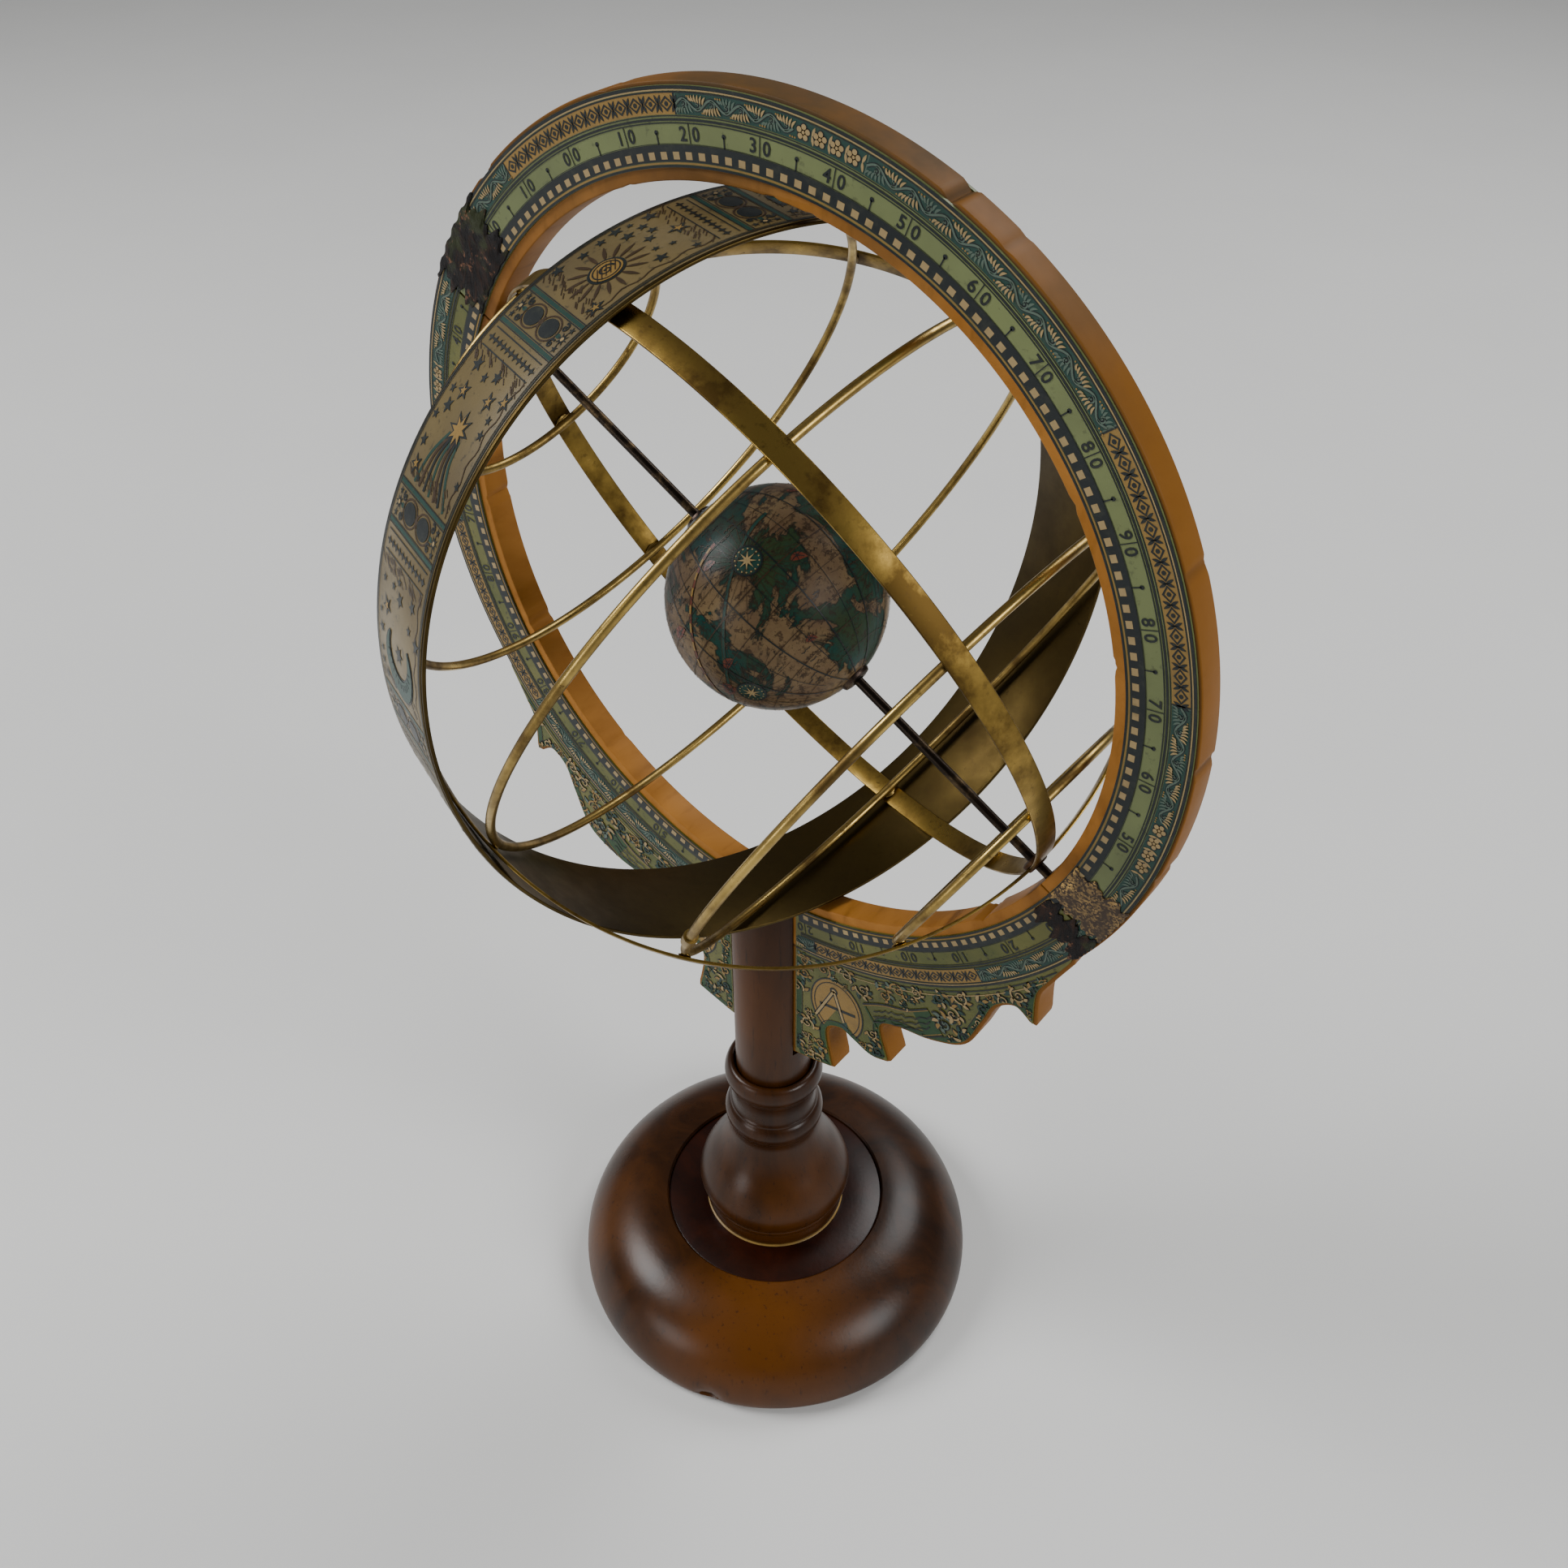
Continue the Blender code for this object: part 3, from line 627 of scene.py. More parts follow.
def digit_shapes():
    """Each digit's filled outline as (points, faces), one unit tall and centred."""
    shapes = {}
    for digit in "0123456789":
        curve = bpy.data.curves.new("digit", "FONT")
        curve.body = digit
        curve.size = 1.35
        curve.offset = 0.024
        curve.resolution_u = 3
        mesh = evaluated_mesh(linked_object("digit", curve))
        bpy.data.curves.remove(curve)
        xs = [v.co.x for v in mesh.vertices]
        ys = [v.co.y for v in mesh.vertices]
        middle = Vector(((min(xs) + max(xs)) / 2, (min(ys) + max(ys)) / 2))
        shapes[digit] = ([Vector((v.co.x, v.co.y)) - middle for v in mesh.vertices],
                         [tuple(p.vertices) for p in mesh.polygons])
    return shapes


DIGITS = digit_shapes()


class Print:
    """Inked shapes on a printed surface. place(u, v, lift) puts a point of the sheet in space;
    skip(u, v) is true where nothing is printed."""

    def __init__(self, name, place, skip=None):
        self.name = name
        self.place = place
        self.skip = skip
        self.level = 0
        self.layers = {}

    @contextmanager
    def over(self):
        """Inside it, shapes are printed over every ink of the level below."""
        self.level += 1
        yield
        self.level -= 1

    def face(self, colour, points):
        if self.skip and any(self.skip(u, v) for u, v in points):
            return
        if colour not in self.layers:
            self.layers[colour] = bmesh.new()
        bm = self.layers[colour]
        lift = LIFT * (1 + INK_ORDER.index(colour) + len(INK_ORDER) * self.level)
        bm.faces.new([bm.verts.new(self.place(u, v, lift)) for u, v in points])

    def ribbon(self, colour, points, width, closed=False):
        """A stroke of even width, or of a width for each point."""
        points = [Vector(p) for p in points]
        count = len(points)
        widths = width if isinstance(width, list) else [width] * count
        sides = []
        for i, point in enumerate(points):
            before = points[i - 1] if i or closed else point
            after = points[(i + 1) % count] if i < count - 1 or closed else point
            along = (after - before).normalized()
            across = Vector((-along.y, along.x)) * widths[i] / 2
            sides.append((point - across, point + across))
        for i in range(count if closed else count - 1):
            (a, b), (c, d) = sides[i], sides[(i + 1) % count]
            self.face(colour, (a, c, d, b))

    def line(self, colour, start, end, width, steps=1):
        start, end = Vector(start), Vector(end)
        self.ribbon(colour, [start.lerp(end, i / steps) for i in range(steps + 1)], width)

    def fan(self, colour, centre, rim):
        for i in range(len(rim)):
            self.face(colour, (centre, rim[i], rim[(i + 1) % len(rim)]))

    def dot(self, colour, centre, radius, sides=10, squash=1.0):
        self.fan(colour, centre, circle(centre, radius, sides, squash))

    def ring(self, colour, centre, radius, width, sides=20, squash=1.0):
        self.ribbon(colour, circle(centre, radius, sides, squash), width, closed=True)

    def star(self, colour, centre, radius, points=5, inner=0.40, turn=0.0):
        rim = []
        for i in range(2 * points):
            reach = radius if i % 2 == 0 else radius * inner
            angle = turn + math.pi * i / points
            rim.append((centre[0] + reach * math.sin(angle), centre[1] + reach * math.cos(angle)))
        self.fan(colour, centre, rim)

    def leaf(self, colour, start, angle, length, width, bend=0.0, vein=None):
        """A pointed leaf, with its middle swung sideways by bend."""
        along = Vector((math.cos(angle), math.sin(angle)))
        across = Vector((-along.y, along.x))
        start = Vector(start)
        points, widths = [], []
        for i in range(7):
            t = i / 6
            points.append(start + along * length * t + across * bend * math.sin(math.pi * t))
            swell = math.sin(math.pi * min(0.98, 0.08 + 0.92 * t)) ** 0.8
            widths.append(max(width * swell, 0.04))
        self.ribbon(colour, points, widths)
        if vein:
            self.ribbon(vein, points[1:-1], 0.10)

    def spiral(self, colour, centre, radius, turn, turns, width, hand=1):
        points, widths = [], []
        steps = int(14 * turns) + 4
        for i in range(steps + 1):
            t = i / steps
            angle = turn + hand * math.tau * turns * t
            points.append(on_circle(centre, radius * (1 - 0.86 * t), angle))
            widths.append(width * (1.1 - 0.6 * t))
        self.ribbon(colour, points, widths)
        self.dot(colour, points[-1], width * 0.75, 8)

    def digit(self, digit, centre, size):
        points, faces = DIGITS[digit]
        placed = [Vector(centre) + p * size for p in points]
        for face in faces:
            self.face("dark", [placed[i] for i in face])

    def finish(self, body):
        for colour, bm in self.layers.items():
            bmesh.ops.remove_doubles(bm, verts=bm.verts, dist=0.002)
            name = self.name + "_" + colour
            mesh = mesh_from(bm, name, turn_faces=False)
            finish_piece(name, mesh, "ink_" + colour, body, sharp=None)


def acanthus(sheet, centre, size, turn, hand, fills=("cream", "ochre", "blue")):
    """A curled stem with pointed lobes along its outer side."""
    for n in range(6):
        angle = turn + hand * (0.25 + 0.72 * n)
        foot = on_circle(centre, size * (0.62 - 0.05 * n), angle)
        out = angle + hand * 0.75
        length = size * (0.80 - 0.06 * n)
        bend = -hand * 0.10 * size
        sheet.leaf("dark", foot, out, length * 1.10, size * 0.46, bend)
        with sheet.over():
            sheet.leaf(fills[n % len(fills)], foot, out, length * 0.92, size * 0.30, bend)
    sheet.spiral("dark", centre, size * 0.72, turn, 1.35, size * 0.32, hand)
    with sheet.over():
        sheet.spiral(fills[-1], centre, size * 0.72, turn, 1.30, size * 0.16, hand)


def frond(sheet, u, middle, height, wave, side, colour):
    """Combed leaves, a curl among them, and three berries on the other side."""
    curl = (u + 0.02 * wave, middle - side * height * 0.02)
    sheet.spiral("dark", curl, height * 0.23, side * 1.9, 1.1, 0.50, -side)
    with sheet.over():
        for n in range(6):
            foot = (u + wave * (0.21 - 0.075 * n), middle - side * height * (0.02 + 0.03 * n))
            sheet.leaf(colour, foot, -side * (1.05 + 0.24 * n), height * (0.42 - 0.022 * n),
                       0.40, -side * 0.16)
        sheet.spiral("blue", curl, height * 0.23, side * 1.9, 1.05, 0.26, -side)
        for shift in (0.17, 0.25, 0.33):
            sheet.dot("ochre", (u + shift * wave, middle + side * height * 0.37), 0.17, 6)


def scroll_band(sheet, start, end, middle, height):
    """A running vine with fronds between two places along a sheet."""
    count = max(2, round((end - start) / 6.4))
    wave = (end - start) / count
    sheet.line("teal", (start, middle), (end, middle), height, 4 * count)
    for k in range(2 * count):
        frond(sheet, start + wave * (0.25 + 0.5 * k), middle, height, wave,
              1 if k % 2 == 0 else -1, "cream" if k % 3 else "blue")
    steps = count * 16
    vine = [(start + (end - start) * i / steps,
             middle + height * 0.25 * math.sin(math.tau * count * i / steps))
            for i in range(steps + 1)]
    sheet.ribbon("dark", vine, 0.66)
    with sheet.over():
        sheet.ribbon("blue", vine, 0.36)


def rosette(sheet, centre, radius):
    for i in range(5):
        petal = on_circle(centre, radius * 0.58, math.tau * i / 5 + 0.3)
        sheet.dot("dark", petal, radius * 0.46, 9)
        sheet.dot("cream", petal, radius * 0.32, 9)
    sheet.dot("dark", centre, radius * 0.34, 9)
    sheet.dot("cream", centre, radius * 0.20, 8)


def ornament_panel(sheet, start, end, low, high):
    """An ochre panel filled with a chain of lozenges."""
    middle = (low + high) / 2
    half = (high - low) / 2
    steps = max(3, int((end - start) / 2.0))
    sheet.line("ochre", (start, middle), (end, middle), high - low, steps)
    count = max(2, round((end - start) / 3.6))
    pitch = (end - start) / count
    for k in range(count):
        u = start + pitch * (k + 0.5)
        rim = [(u + 0.36 * pitch, middle), (u, middle + 0.62 * half), (u - 0.36 * pitch, middle),
               (u, middle - 0.62 * half)]
        sheet.ribbon("dark", rim, 0.42, closed=True)
        sheet.dot("dark", (u, middle), 0.42, 8)
        for side in (-1, 1):
            for angle in (1.15, 2.0):
                sheet.leaf("dark", (u + 0.5 * pitch, middle), side * angle, half * 0.9, 0.55)
    for u in (start, end):
        sheet.line("dark", (u, low), (u, high), 0.30)


PRINT_MIDDLE = (PRINT_INNER + PRINT_OUTER) / 2
BAND_LOW, BAND_HIGH = 89.75, 93.12
# the ring's printed circles: ink, radius and width
RING_LINES = (("dark", 81.55, 0.42), ("ochre", 81.98, 0.30), ("dark", 83.62, 2.75),
              ("dark", 85.12, 0.10), ("dark", 88.45, 0.20), ("dark", 88.98, 0.40),
              ("dark", 89.55, 0.18), ("blue", 91.45, 3.40), ("dark", 93.25, 0.24),
              ("cream", 93.58, 0.22), ("dark", 94.0, 0.55))


def along_ring(degrees):
    return PRINT_MIDDLE * (math.radians(degrees) % math.tau)


def print_scale(sheet):
    """Marks and numbers every ten degrees, from 0 to 90 and back, with half marks between."""
    for k in range(36):
        angle = math.degrees(SCALE_ZERO) + 10 * k
        u = along_ring(angle)
        sheet.line("dark", (u, 85.2), (u, 88.35), 0.20)
        sheet.digit(str(min(k % 18, 18 - k % 18)), (u - 1.45, 86.75), 2.45)
        sheet.digit("0", (u + 1.45, 86.75), 2.45)
        u = along_ring(angle + 5)
        sheet.line("dark", (u, 85.0), (u, 86.9), 0.26)
        sheet.dot("dark", (u, 86.95), 0.42, 9)


def print_outer_band(sheet, start):
    """A quarter of the outer band: lozenges, a vine, four flowers and a vine."""
    centre = (BAND_LOW + BAND_HIGH) / 2
    height = BAND_HIGH - BAND_LOW
    panel_end = start + math.radians(30) * PRINT_MIDDLE
    bloom = start + math.radians(47) * PRINT_MIDDLE
    ornament_panel(sheet, start, panel_end, BAND_LOW, BAND_HIGH)
    scroll_band(sheet, panel_end + 0.4, bloom - 1.9, centre, height)
    sheet.line("teal", (bloom - 1.9, centre), (bloom + 12.0, centre), height, 6)
    for n in range(4):
        rosette(sheet, (bloom + 3.2 * n, centre), 1.45)
        for side in (-1, 1):
            sheet.leaf("cream", (bloom + 3.2 * n + 1.7, centre), side * 1.3, 1.5, 0.5)
    scroll_band(sheet, bloom + 12.2, start + math.radians(90) * PRINT_MIDDLE - 0.4, centre, height)


def print_ring(name, place, skip):
    """The graduated ring: chequered border, scale with numbers, scrolls and edge lines. Its sheet
    is measured along the middle of the print, and across it by the radius."""
    turn = math.tau * PRINT_MIDDLE
    sheet = Print(name, lambda u, v, lift: place(u / PRINT_MIDDLE, v, lift),
                  lambda u, v: skip(u / PRINT_MIDDLE, v))
    for colour, radius, width in RING_LINES:
        sheet.line(colour, (0, radius), (turn, radius), width, 288)
    for k in range(180):
        u = along_ring(2 * k + 1)
        sheet.line("cream", (u, 82.62), (u, 83.86), 1.42 * PRINT_MIDDLE / 83.2)
    print_scale(sheet)
    for quarter in range(4):
        print_outer_band(sheet, along_ring(90 * quarter + 50))
    sheet.finish("stand")


def print_fret_border(sheet, side):
    """Lines that follow the bracket's edge, the ring and the post."""
    outline = fret_outline()
    edge = [p for p in grown(outline, -0.75) if Vector(p).length > 95.6]
    inner = [p for p in grown(outline, -1.55) if Vector(p).length > 96.2]
    sheet.ribbon("green", [(side * x, z) for x, z in edge], 1.35)
    sheet.ribbon("dark", [(side * x, z) for x, z in inner], 0.22)
    rim = [(side * x, z) for x, z in arc(95.3, math.radians(127), math.radians(179), 60)]
    sheet.ribbon("dark", rim, 0.35)
    sheet.ribbon("cream", [(x * 1.012, z * 1.012) for x, z in rim], 0.25)
    post = side * 11.2
    sheet.line("green", (post, -96.5), (post, -129.5), 1.5, 8)
    sheet.line("dark", (post + side, -96.5), (post + side, -128.5), 0.2, 8)


def print_instrument(sheet, side):
    """A pair of compasses and a rule in an oval."""
    u, v = side * OVAL[0], OVAL[1]
    sheet.dot("ochre", (u, v), 7.6, 36, 1.25)
    sheet.ring("dark", (u, v), 7.6, 0.4, 36, 1.25)
    sheet.ring("dark", (u, v), 6.6, 0.25, 36, 1.25)
    top = (u - side, v + 5.6)
    for swing in (-0.42, 0.34):
        foot = (top[0] + 12.6 * math.sin(swing), top[1] - 12.6 * math.cos(swing))
        sheet.line("dark", top, foot, 1.15, 4)
        sheet.line("cream", top, foot, 0.62, 4)
    sheet.dot("dark", top, 1.15, 12)
    sheet.dot("cream", top, 0.6, 10)
    sheet.line("dark", (u - 5.0, v - 1.0), (u + 5.4, v + 1.2), 0.9, 4)
    sheet.star("teal", (u + side * 2.4, v - 4.4), 1.9, 3, 0.5, 0.3)


def print_banner(sheet, side):
    """A ribbon with three wavy lines on it, and a leaf at its end."""
    run = smooth_run([(32.0, -102.5), (37.0, -99.2), (43.5, -96.4), (49.5, -91.8)], 7)
    banner = [(side * x, z) for x, z in run]
    sheet.ribbon("green", banner, 7.4)
    for shift in (-3.7, 3.7):
        sheet.ribbon("dark", grown(banner, shift), 0.45)
        sheet.ribbon("ochre", grown(banner, shift * 0.88), 0.22)
    for shift in (-1.8, 0.0, 1.8):
        wave = [(x, z + shift + 0.4 * math.sin(x * 4.2)) for x, z in banner[2:-2]]
        sheet.ribbon("dark", wave, 0.34)
    acanthus(sheet, (side * 52.0, -90.6), 3.4, 0.6, side)


OVAL = (22.5, -106.8)
BANNER_ROOM = ((33.0, -101.8), (37.5, -99.0), (43.0, -96.4), (48.5, -92.6))
FOLIAGE_FILLS = (("ochre", "teal", "cream"), ("blue", "green", "ochre"), ("cream", "ochre", "teal"))


def print_foliage(sheet, skip, rng):
    """Leaves of four sizes wherever there is room for one."""
    taken = [(side * OVAL[0], OVAL[1], 8.8) for side in (-1, 1)]
    taken += [(side * x, z, 3.6) for side in (-1, 1) for x, z in BANNER_ROOM]
    for size in (2.9, 2.2, 1.5, 1.0):
        for _ in range(900):
            angle = math.radians(rng.uniform(122, 238))
            reach = rng.uniform(96.5, 131)
            u, v = reach * math.sin(angle), reach * math.cos(angle)
            if skip(u, v) or any(math.hypot(u - a, v - b) < c + 0.80 * size for a, b, c in taken):
                continue
            taken.append((u, v, 0.80 * size))
            acanthus(sheet, (u, v), size, rng.uniform(0, math.tau), rng.choice((-1, 1)),
                     rng.choice(FOLIAGE_FILLS))


def print_bracket(name, place, skip, seed):
    """The fretwork's print: a border that follows its edge, instruments, ribbon and foliage."""
    sheet = Print(name, place, skip)
    for side in (1, -1):
        print_fret_border(sheet, side)
        print_instrument(sheet, side)
        with sheet.over():
            print_banner(sheet, side)
    print_foliage(sheet, skip, random.Random(seed))
    sheet.finish("stand")


def zodiac_sun(sheet, centre, size):
    for i in range(16):
        angle = math.tau * i / 16
        sheet.leaf("brown", on_circle(centre, 0.45 * size, angle), angle, size * 0.5, 0.75)
    sheet.dot("dark", centre, size * 0.44, 24)
    with sheet.over():
        sheet.dot("ochre", centre, size * 0.37, 24)
        sheet.ring("dark", centre, size * 0.31, 0.26, 24)
        for i in range(5):
            u = centre[0] + (i - 2) * 0.11 * size
            sheet.line("brown", (u - 0.1 * size, centre[1] - 0.2 * size),
                       (u + 0.1 * size, centre[1] + 0.2 * size), 0.22)
        sheet.spiral("dark", centre, size * 0.20, 0.0, 1.4, 0.4)


def zodiac_crescent(sheet, centre, size):
    rim = [on_circle(centre, size * 0.72, math.radians(50 + 260 * i / 18)) for i in range(19)]
    widths = [0.2 + 0.46 * size * math.sin(math.pi * i / 18) for i in range(19)]
    sheet.ribbon("dark", rim, [width + 0.8 for width in widths])
    with sheet.over():
        sheet.ribbon("teal", rim, widths)
        for place in rim[3:16]:
            sheet.line("dark", place, Vector(place).lerp(Vector(centre), 0.22), 0.26)
    sheet.star("dark", (centre[0] + 0.12 * size, centre[1]), size * 0.26, 6, 0.4)


def zodiac_comet(sheet, centre, size):
    u, v = centre
    sheet.star("dark", (u + size * 0.45, v), size * 0.48, 8, 0.45)
    with sheet.over():
        sheet.star("ochre", (u + size * 0.45, v), size * 0.34, 8, 0.45)
    for i in range(7):
        drift = (i - 3) * 0.11
        tail = smooth_run([(u + size * 0.3, v + drift * size * 0.8),
                           (u - size * 0.3, v + drift * size * 1.5 + 0.12 * size),
                           (u - size * 1.05, v + drift * size * 2.6 - 0.05 * size)], 5)
        sheet.ribbon(("teal", "dark", "brown")[i % 3], tail, 0.75)


def zodiac_vase(sheet, centre, size):
    u, v = centre
    half = smooth_run([(0.0, 0.9), (0.28, 0.86), (0.22, 0.62), (0.56, 0.20), (0.50, -0.30),
                       (0.22, -0.62), (0.34, -0.88), (0.0, -0.90)], 4)
    rim = [(u + b * size, v + a * size) for a, b in half]
    rim += [(u + b * size, v - a * size) for a, b in reversed(half)]
    sheet.fan("teal", centre, rim)
    sheet.ribbon("dark", rim, 0.6, closed=True)
    for i in range(9):
        middle = u + 0.5 * (i - 4) * 0.11 * size
        sheet.line("dark" if i % 2 else "cream", (middle, v - 0.40 * size),
                   (middle + 0.1 * size, v + 0.40 * size), 0.26, 2)
    for side in (-1, 1):
        sheet.spiral("brown", (u + 0.25 * size, v + side * 0.72 * size), 0.3 * size,
                     -side * 1.2, 1.2, 0.5, side)


def zodiac_divider(sheet, u, half):
    """The framed strip between two panels: a pinched loop, flowers and stars."""
    for side in (-1, 1):
        for colour, shift, width in (("teal", 3.6, 0.75), ("dark", 4.15, 0.22),
                                     ("dark", 3.0, 0.22)):
            sheet.line(colour, (u + side * shift, -half), (u + side * shift, half), width, 2)
    for side in (-1, 1):
        sheet.dot("dark", (u, side * 3.3), 1.95, 22, 1.35)
        sheet.ring("brown", (u, side * 3.3), 2.45, 0.34, 24, 1.32)
        for hand in (-1, 1):
            sheet.spiral("dark", (u + hand * 1.75, side * 7.0), 0.95, hand * 0.6, 1.2, 0.42,
                         hand * side)
            sheet.star("dark", (u + hand * 2.0, side * 9.2), 0.9, 5, 0.36)
        sheet.star("dark", (u, side * 8.9), 1.6, 8, 0.34)
        sheet.dot("cream", (u, side * 8.9), 0.42, 8)
        sheet.leaf("teal", (u, side * 6.2), side * math.pi / 2, 2.0, 0.9)
    sheet.star("brown", (u, 0.0), 1.35, 4, 0.4)


def zodiac_title(sheet, u):
    """A framed row of small stars across the strip."""
    for edge in (-1.9, 1.9):
        sheet.line("dark", (u + edge, -9.8), (u + edge, 9.8), 0.26)
    for n in range(11):
        v = (n - 5) * 1.75
        sheet.star("dark", (u, v), 0.95, 4, 0.42)
        sheet.dot("brown", (u, v + 0.87), 0.26, 6)


def zodiac_sky(sheet, first, last, figure, rng):
    """Stars of many sizes around the emblem, and short strokes at the panel's two ends."""
    taken = [(*figure, 7.6)]
    for _ in range(160):
        size = rng.uniform(0.8, 2.3)
        u, v = rng.uniform(first + size, last - size), rng.uniform(-9.6, 9.6)
        if all(math.hypot(u - a, v - b) > c + size for a, b, c in taken):
            taken.append((u, v, size + 0.25))
            tilt = rng.uniform(-0.3, 0.3)
            sheet.star("dark", (u, v), size, 5, 0.40, tilt)
            if size > 1.8:
                with sheet.over():
                    sheet.star("ochre", (u, v), size * 0.5, 5, 0.40, tilt)
    for _ in range(90):
        u = rng.choice((first + rng.uniform(0.3, 3.0), last - rng.uniform(0.3, 3.0)))
        v = rng.uniform(-10.2, 10.2)
        sheet.line("brown", (u, v), (u + 0.9, v + 1.3), 0.20)


def print_zodiac():
    """The zodiac band's strip: twelve panels of stars around a plain emblem each."""
    def place(u, v, lift):
        return ZODIAC @ Vector((*on_circle((0, 0), ZODIAC_PRINT + lift, u / ZODIAC_PRINT), v))

    sheet = Print("zodiac_ink", place)
    rng = random.Random(12)
    turn = math.tau * ZODIAC_PRINT
    for v, width in ((11.55, 0.42), (10.95, 0.20), (-11.55, 0.42), (-10.95, 0.20)):
        sheet.line("dark", (0, v), (turn, v), width, 240)
    panel = turn / 12
    emblems = (zodiac_sun, zodiac_vase, zodiac_crescent, zodiac_comet)
    for k in range(12):
        start = k * panel
        zodiac_divider(sheet, start, 10.9)
        first, last = start + 4.9, start + panel - 4.9
        figure = ((first + last) / 2 - 6.2, -0.6)
        emblems[k % 4](sheet, figure, 8.2)
        zodiac_title(sheet, last - 2.2)
        last -= 4.4
        zodiac_sky(sheet, first, last, figure, rng)
        ground = [(first + (last - first) * i / 20, -9.2 + 0.5 * math.sin(i * 1.3 + k))
                  for i in range(21)]
        sheet.ribbon("brown", ground, 0.28)
    sheet.finish("cage")


MAP_RADIUS = GLOBE_RADIUS + 0.03
# the globe's broad routes: ink, start in longitude and tilt
ROUTES = (("rust", 3.6, 0.55), ("teal", 4.15, 0.42), ("rust", 0.4, 0.35), ("teal", 1.5, -0.32))
ROSES = ((0.35, -0.40), (1.55, 0.62), (2.45, -0.30), (3.60, 0.45), (4.55, -0.55), (5.60, 0.20))


def direction(longitude, latitude):
    return Vector((math.cos(latitude) * math.cos(longitude),
                   math.cos(latitude) * math.sin(longitude), math.sin(latitude)))


def globe_place(u, v, lift):
    """A sheet measured along the globe's equator and up from it."""
    return GLOBE @ (direction(u / MAP_RADIUS, v / MAP_RADIUS) * (MAP_RADIUS + lift))


def print_graticule(lines):
    for k in range(24):
        u = MAP_RADIUS * math.radians(15 * k)
        reach, width = (80, 0.26) if k % 2 == 0 else (66, 0.12)
        points = [(u, MAP_RADIUS * math.radians(reach) * (i / 24 - 1)) for i in range(49)]
        for here, there in zip(points, points[1:]):
            shrink = 1 / max(0.2, math.cos(here[1] / MAP_RADIUS))
            lines.line("dark", here, there, width * shrink)
    for latitude in range(-60, 61, 15):
        v = MAP_RADIUS * math.radians(latitude)
        lines.line("brown", (0, v), (math.tau * MAP_RADIUS, v), 0.13 if latitude else 0.26, 120)


def print_routes(lines):
    for colour, start, tilt in ROUTES:
        points = [(MAP_RADIUS * (start + 1.9 * i / 30),
                   MAP_RADIUS * tilt * math.sin(math.pi * (i / 30 - 0.5))) for i in range(31)]
        lines.ribbon(colour, points, 0.75)
        if colour == "rust":
            with lines.over():
                for here, there in zip(points[::2], points[1::2]):
                    lines.line("ochre", here, there, 0.5)
        for edge in (0.38, -0.38):
            lines.ribbon("brown", [(u, v + edge) for u, v in points], 0.09)


def print_marks(lines, rng):
    """Scribbled strokes, rows of hills and small red islands."""
    def somewhere(low, high):
        return rng.uniform(0, math.tau) * MAP_RADIUS, math.radians(
            rng.uniform(low, high)) * MAP_RADIUS

    for _ in range(420):
        u, v = somewhere(-62, 62)
        step = 0.22 / math.cos(v / MAP_RADIUS)
        stroke = [(u + step * i, v + rng.uniform(-0.16, 0.16)) for i in range(rng.randint(4, 11))]
        lines.ribbon(rng.choice(("brown", "dark")), stroke, 0.16)
    for _ in range(120):
        u, v = somewhere(-55, 55)
        hills = [(u + 0.45 * i, v + (0.42 if i % 2 else 0.0)) for i in range(7)]
        lines.ribbon("brown", hills, 0.18)
    for _ in range(16):
        u, v = somewhere(-45, 35)
        size = rng.uniform(1.2, 2.2)
        lines.leaf("rust", (u - size, v), rng.uniform(-0.5, 0.5), 2.2 * size, 1.1 * size,
                   0.3 * size, "dark")
        for i in range(6):
            lines.line("dark", (u, v), on_circle((u, v), size, i * 1.1), 0.14)


def print_compass_rose(name, longitude, latitude):
    """A compass rose with its rays, on a flat sheet wrapped on the globe around its place."""
    out = direction(longitude, latitude)
    east = Vector((-math.sin(longitude), math.cos(longitude), 0.0))
    north = out.cross(east)

    def place(u, v, lift):
        point = (out * MAP_RADIUS + east * u + north * v).normalized()
        return GLOBE @ (point * (MAP_RADIUS + lift))

    rose = Print(name, place)
    for i in range(32):
        far = 13.0 if i % 2 == 0 else 8.5
        ray = [on_circle((0, 0), reach, math.tau * i / 32) for reach in (3.1, 5.5, 8.0, far)]
        rose.ribbon("brown", ray, 0.085)
    rose.dot("teal", (0, 0), 2.9, 32)
    rose.ring("dark", (0, 0), 2.9, 0.35, 32)
    for place_on_rim in circle((0, 0), 2.35, 16):
        rose.dot("cream", place_on_rim, 0.17, 6)
    rose.star("cream", (0, 0), 1.9, 8, 0.30)
    rose.star("dark", (0, 0), 1.3, 8, 0.30, math.pi / 8)
    rose.finish("globe")


def print_globe():
    """The globe's drawn lines: graticule, routes, small marks and compass roses."""
    lines = Print("globe_lines", globe_place)
    print_graticule(lines)
    print_routes(lines)
    print_marks(lines, random.Random(5))
    lines.finish("globe")
    for number, place in enumerate(ROSES):
        print_compass_rose(f"compass_rose_{number + 1}", *place)


# ---------------------------------------------------------------- pieces

CHIP = Vector((18.6, -51.2, 3.5))
CHIP_REACH = 5.0
CHIP_DEPTH = 1.6
DOME_CORE = 30.6
DOME_FOOT = 3.4


def chip_base(mesh):
    """A chip knocked out of the base's lower edge."""
    for vertex in mesh.vertices:
        place = vertex.co / MM
        apart = (place - CHIP).length
        if apart < CHIP_REACH:
            depth = (1 - apart / CHIP_REACH) ** 1.5 * CHIP_DEPTH
            ripple = 1 + 0.5 * math.sin(place.x * 4.2) * math.sin(place.z * 3.1)
            inward = Vector((-place.x, -place.y, 0.0)).normalized()
            vertex.co += (inward - Vector((0, 0, 0.35))) * depth * ripple * MM


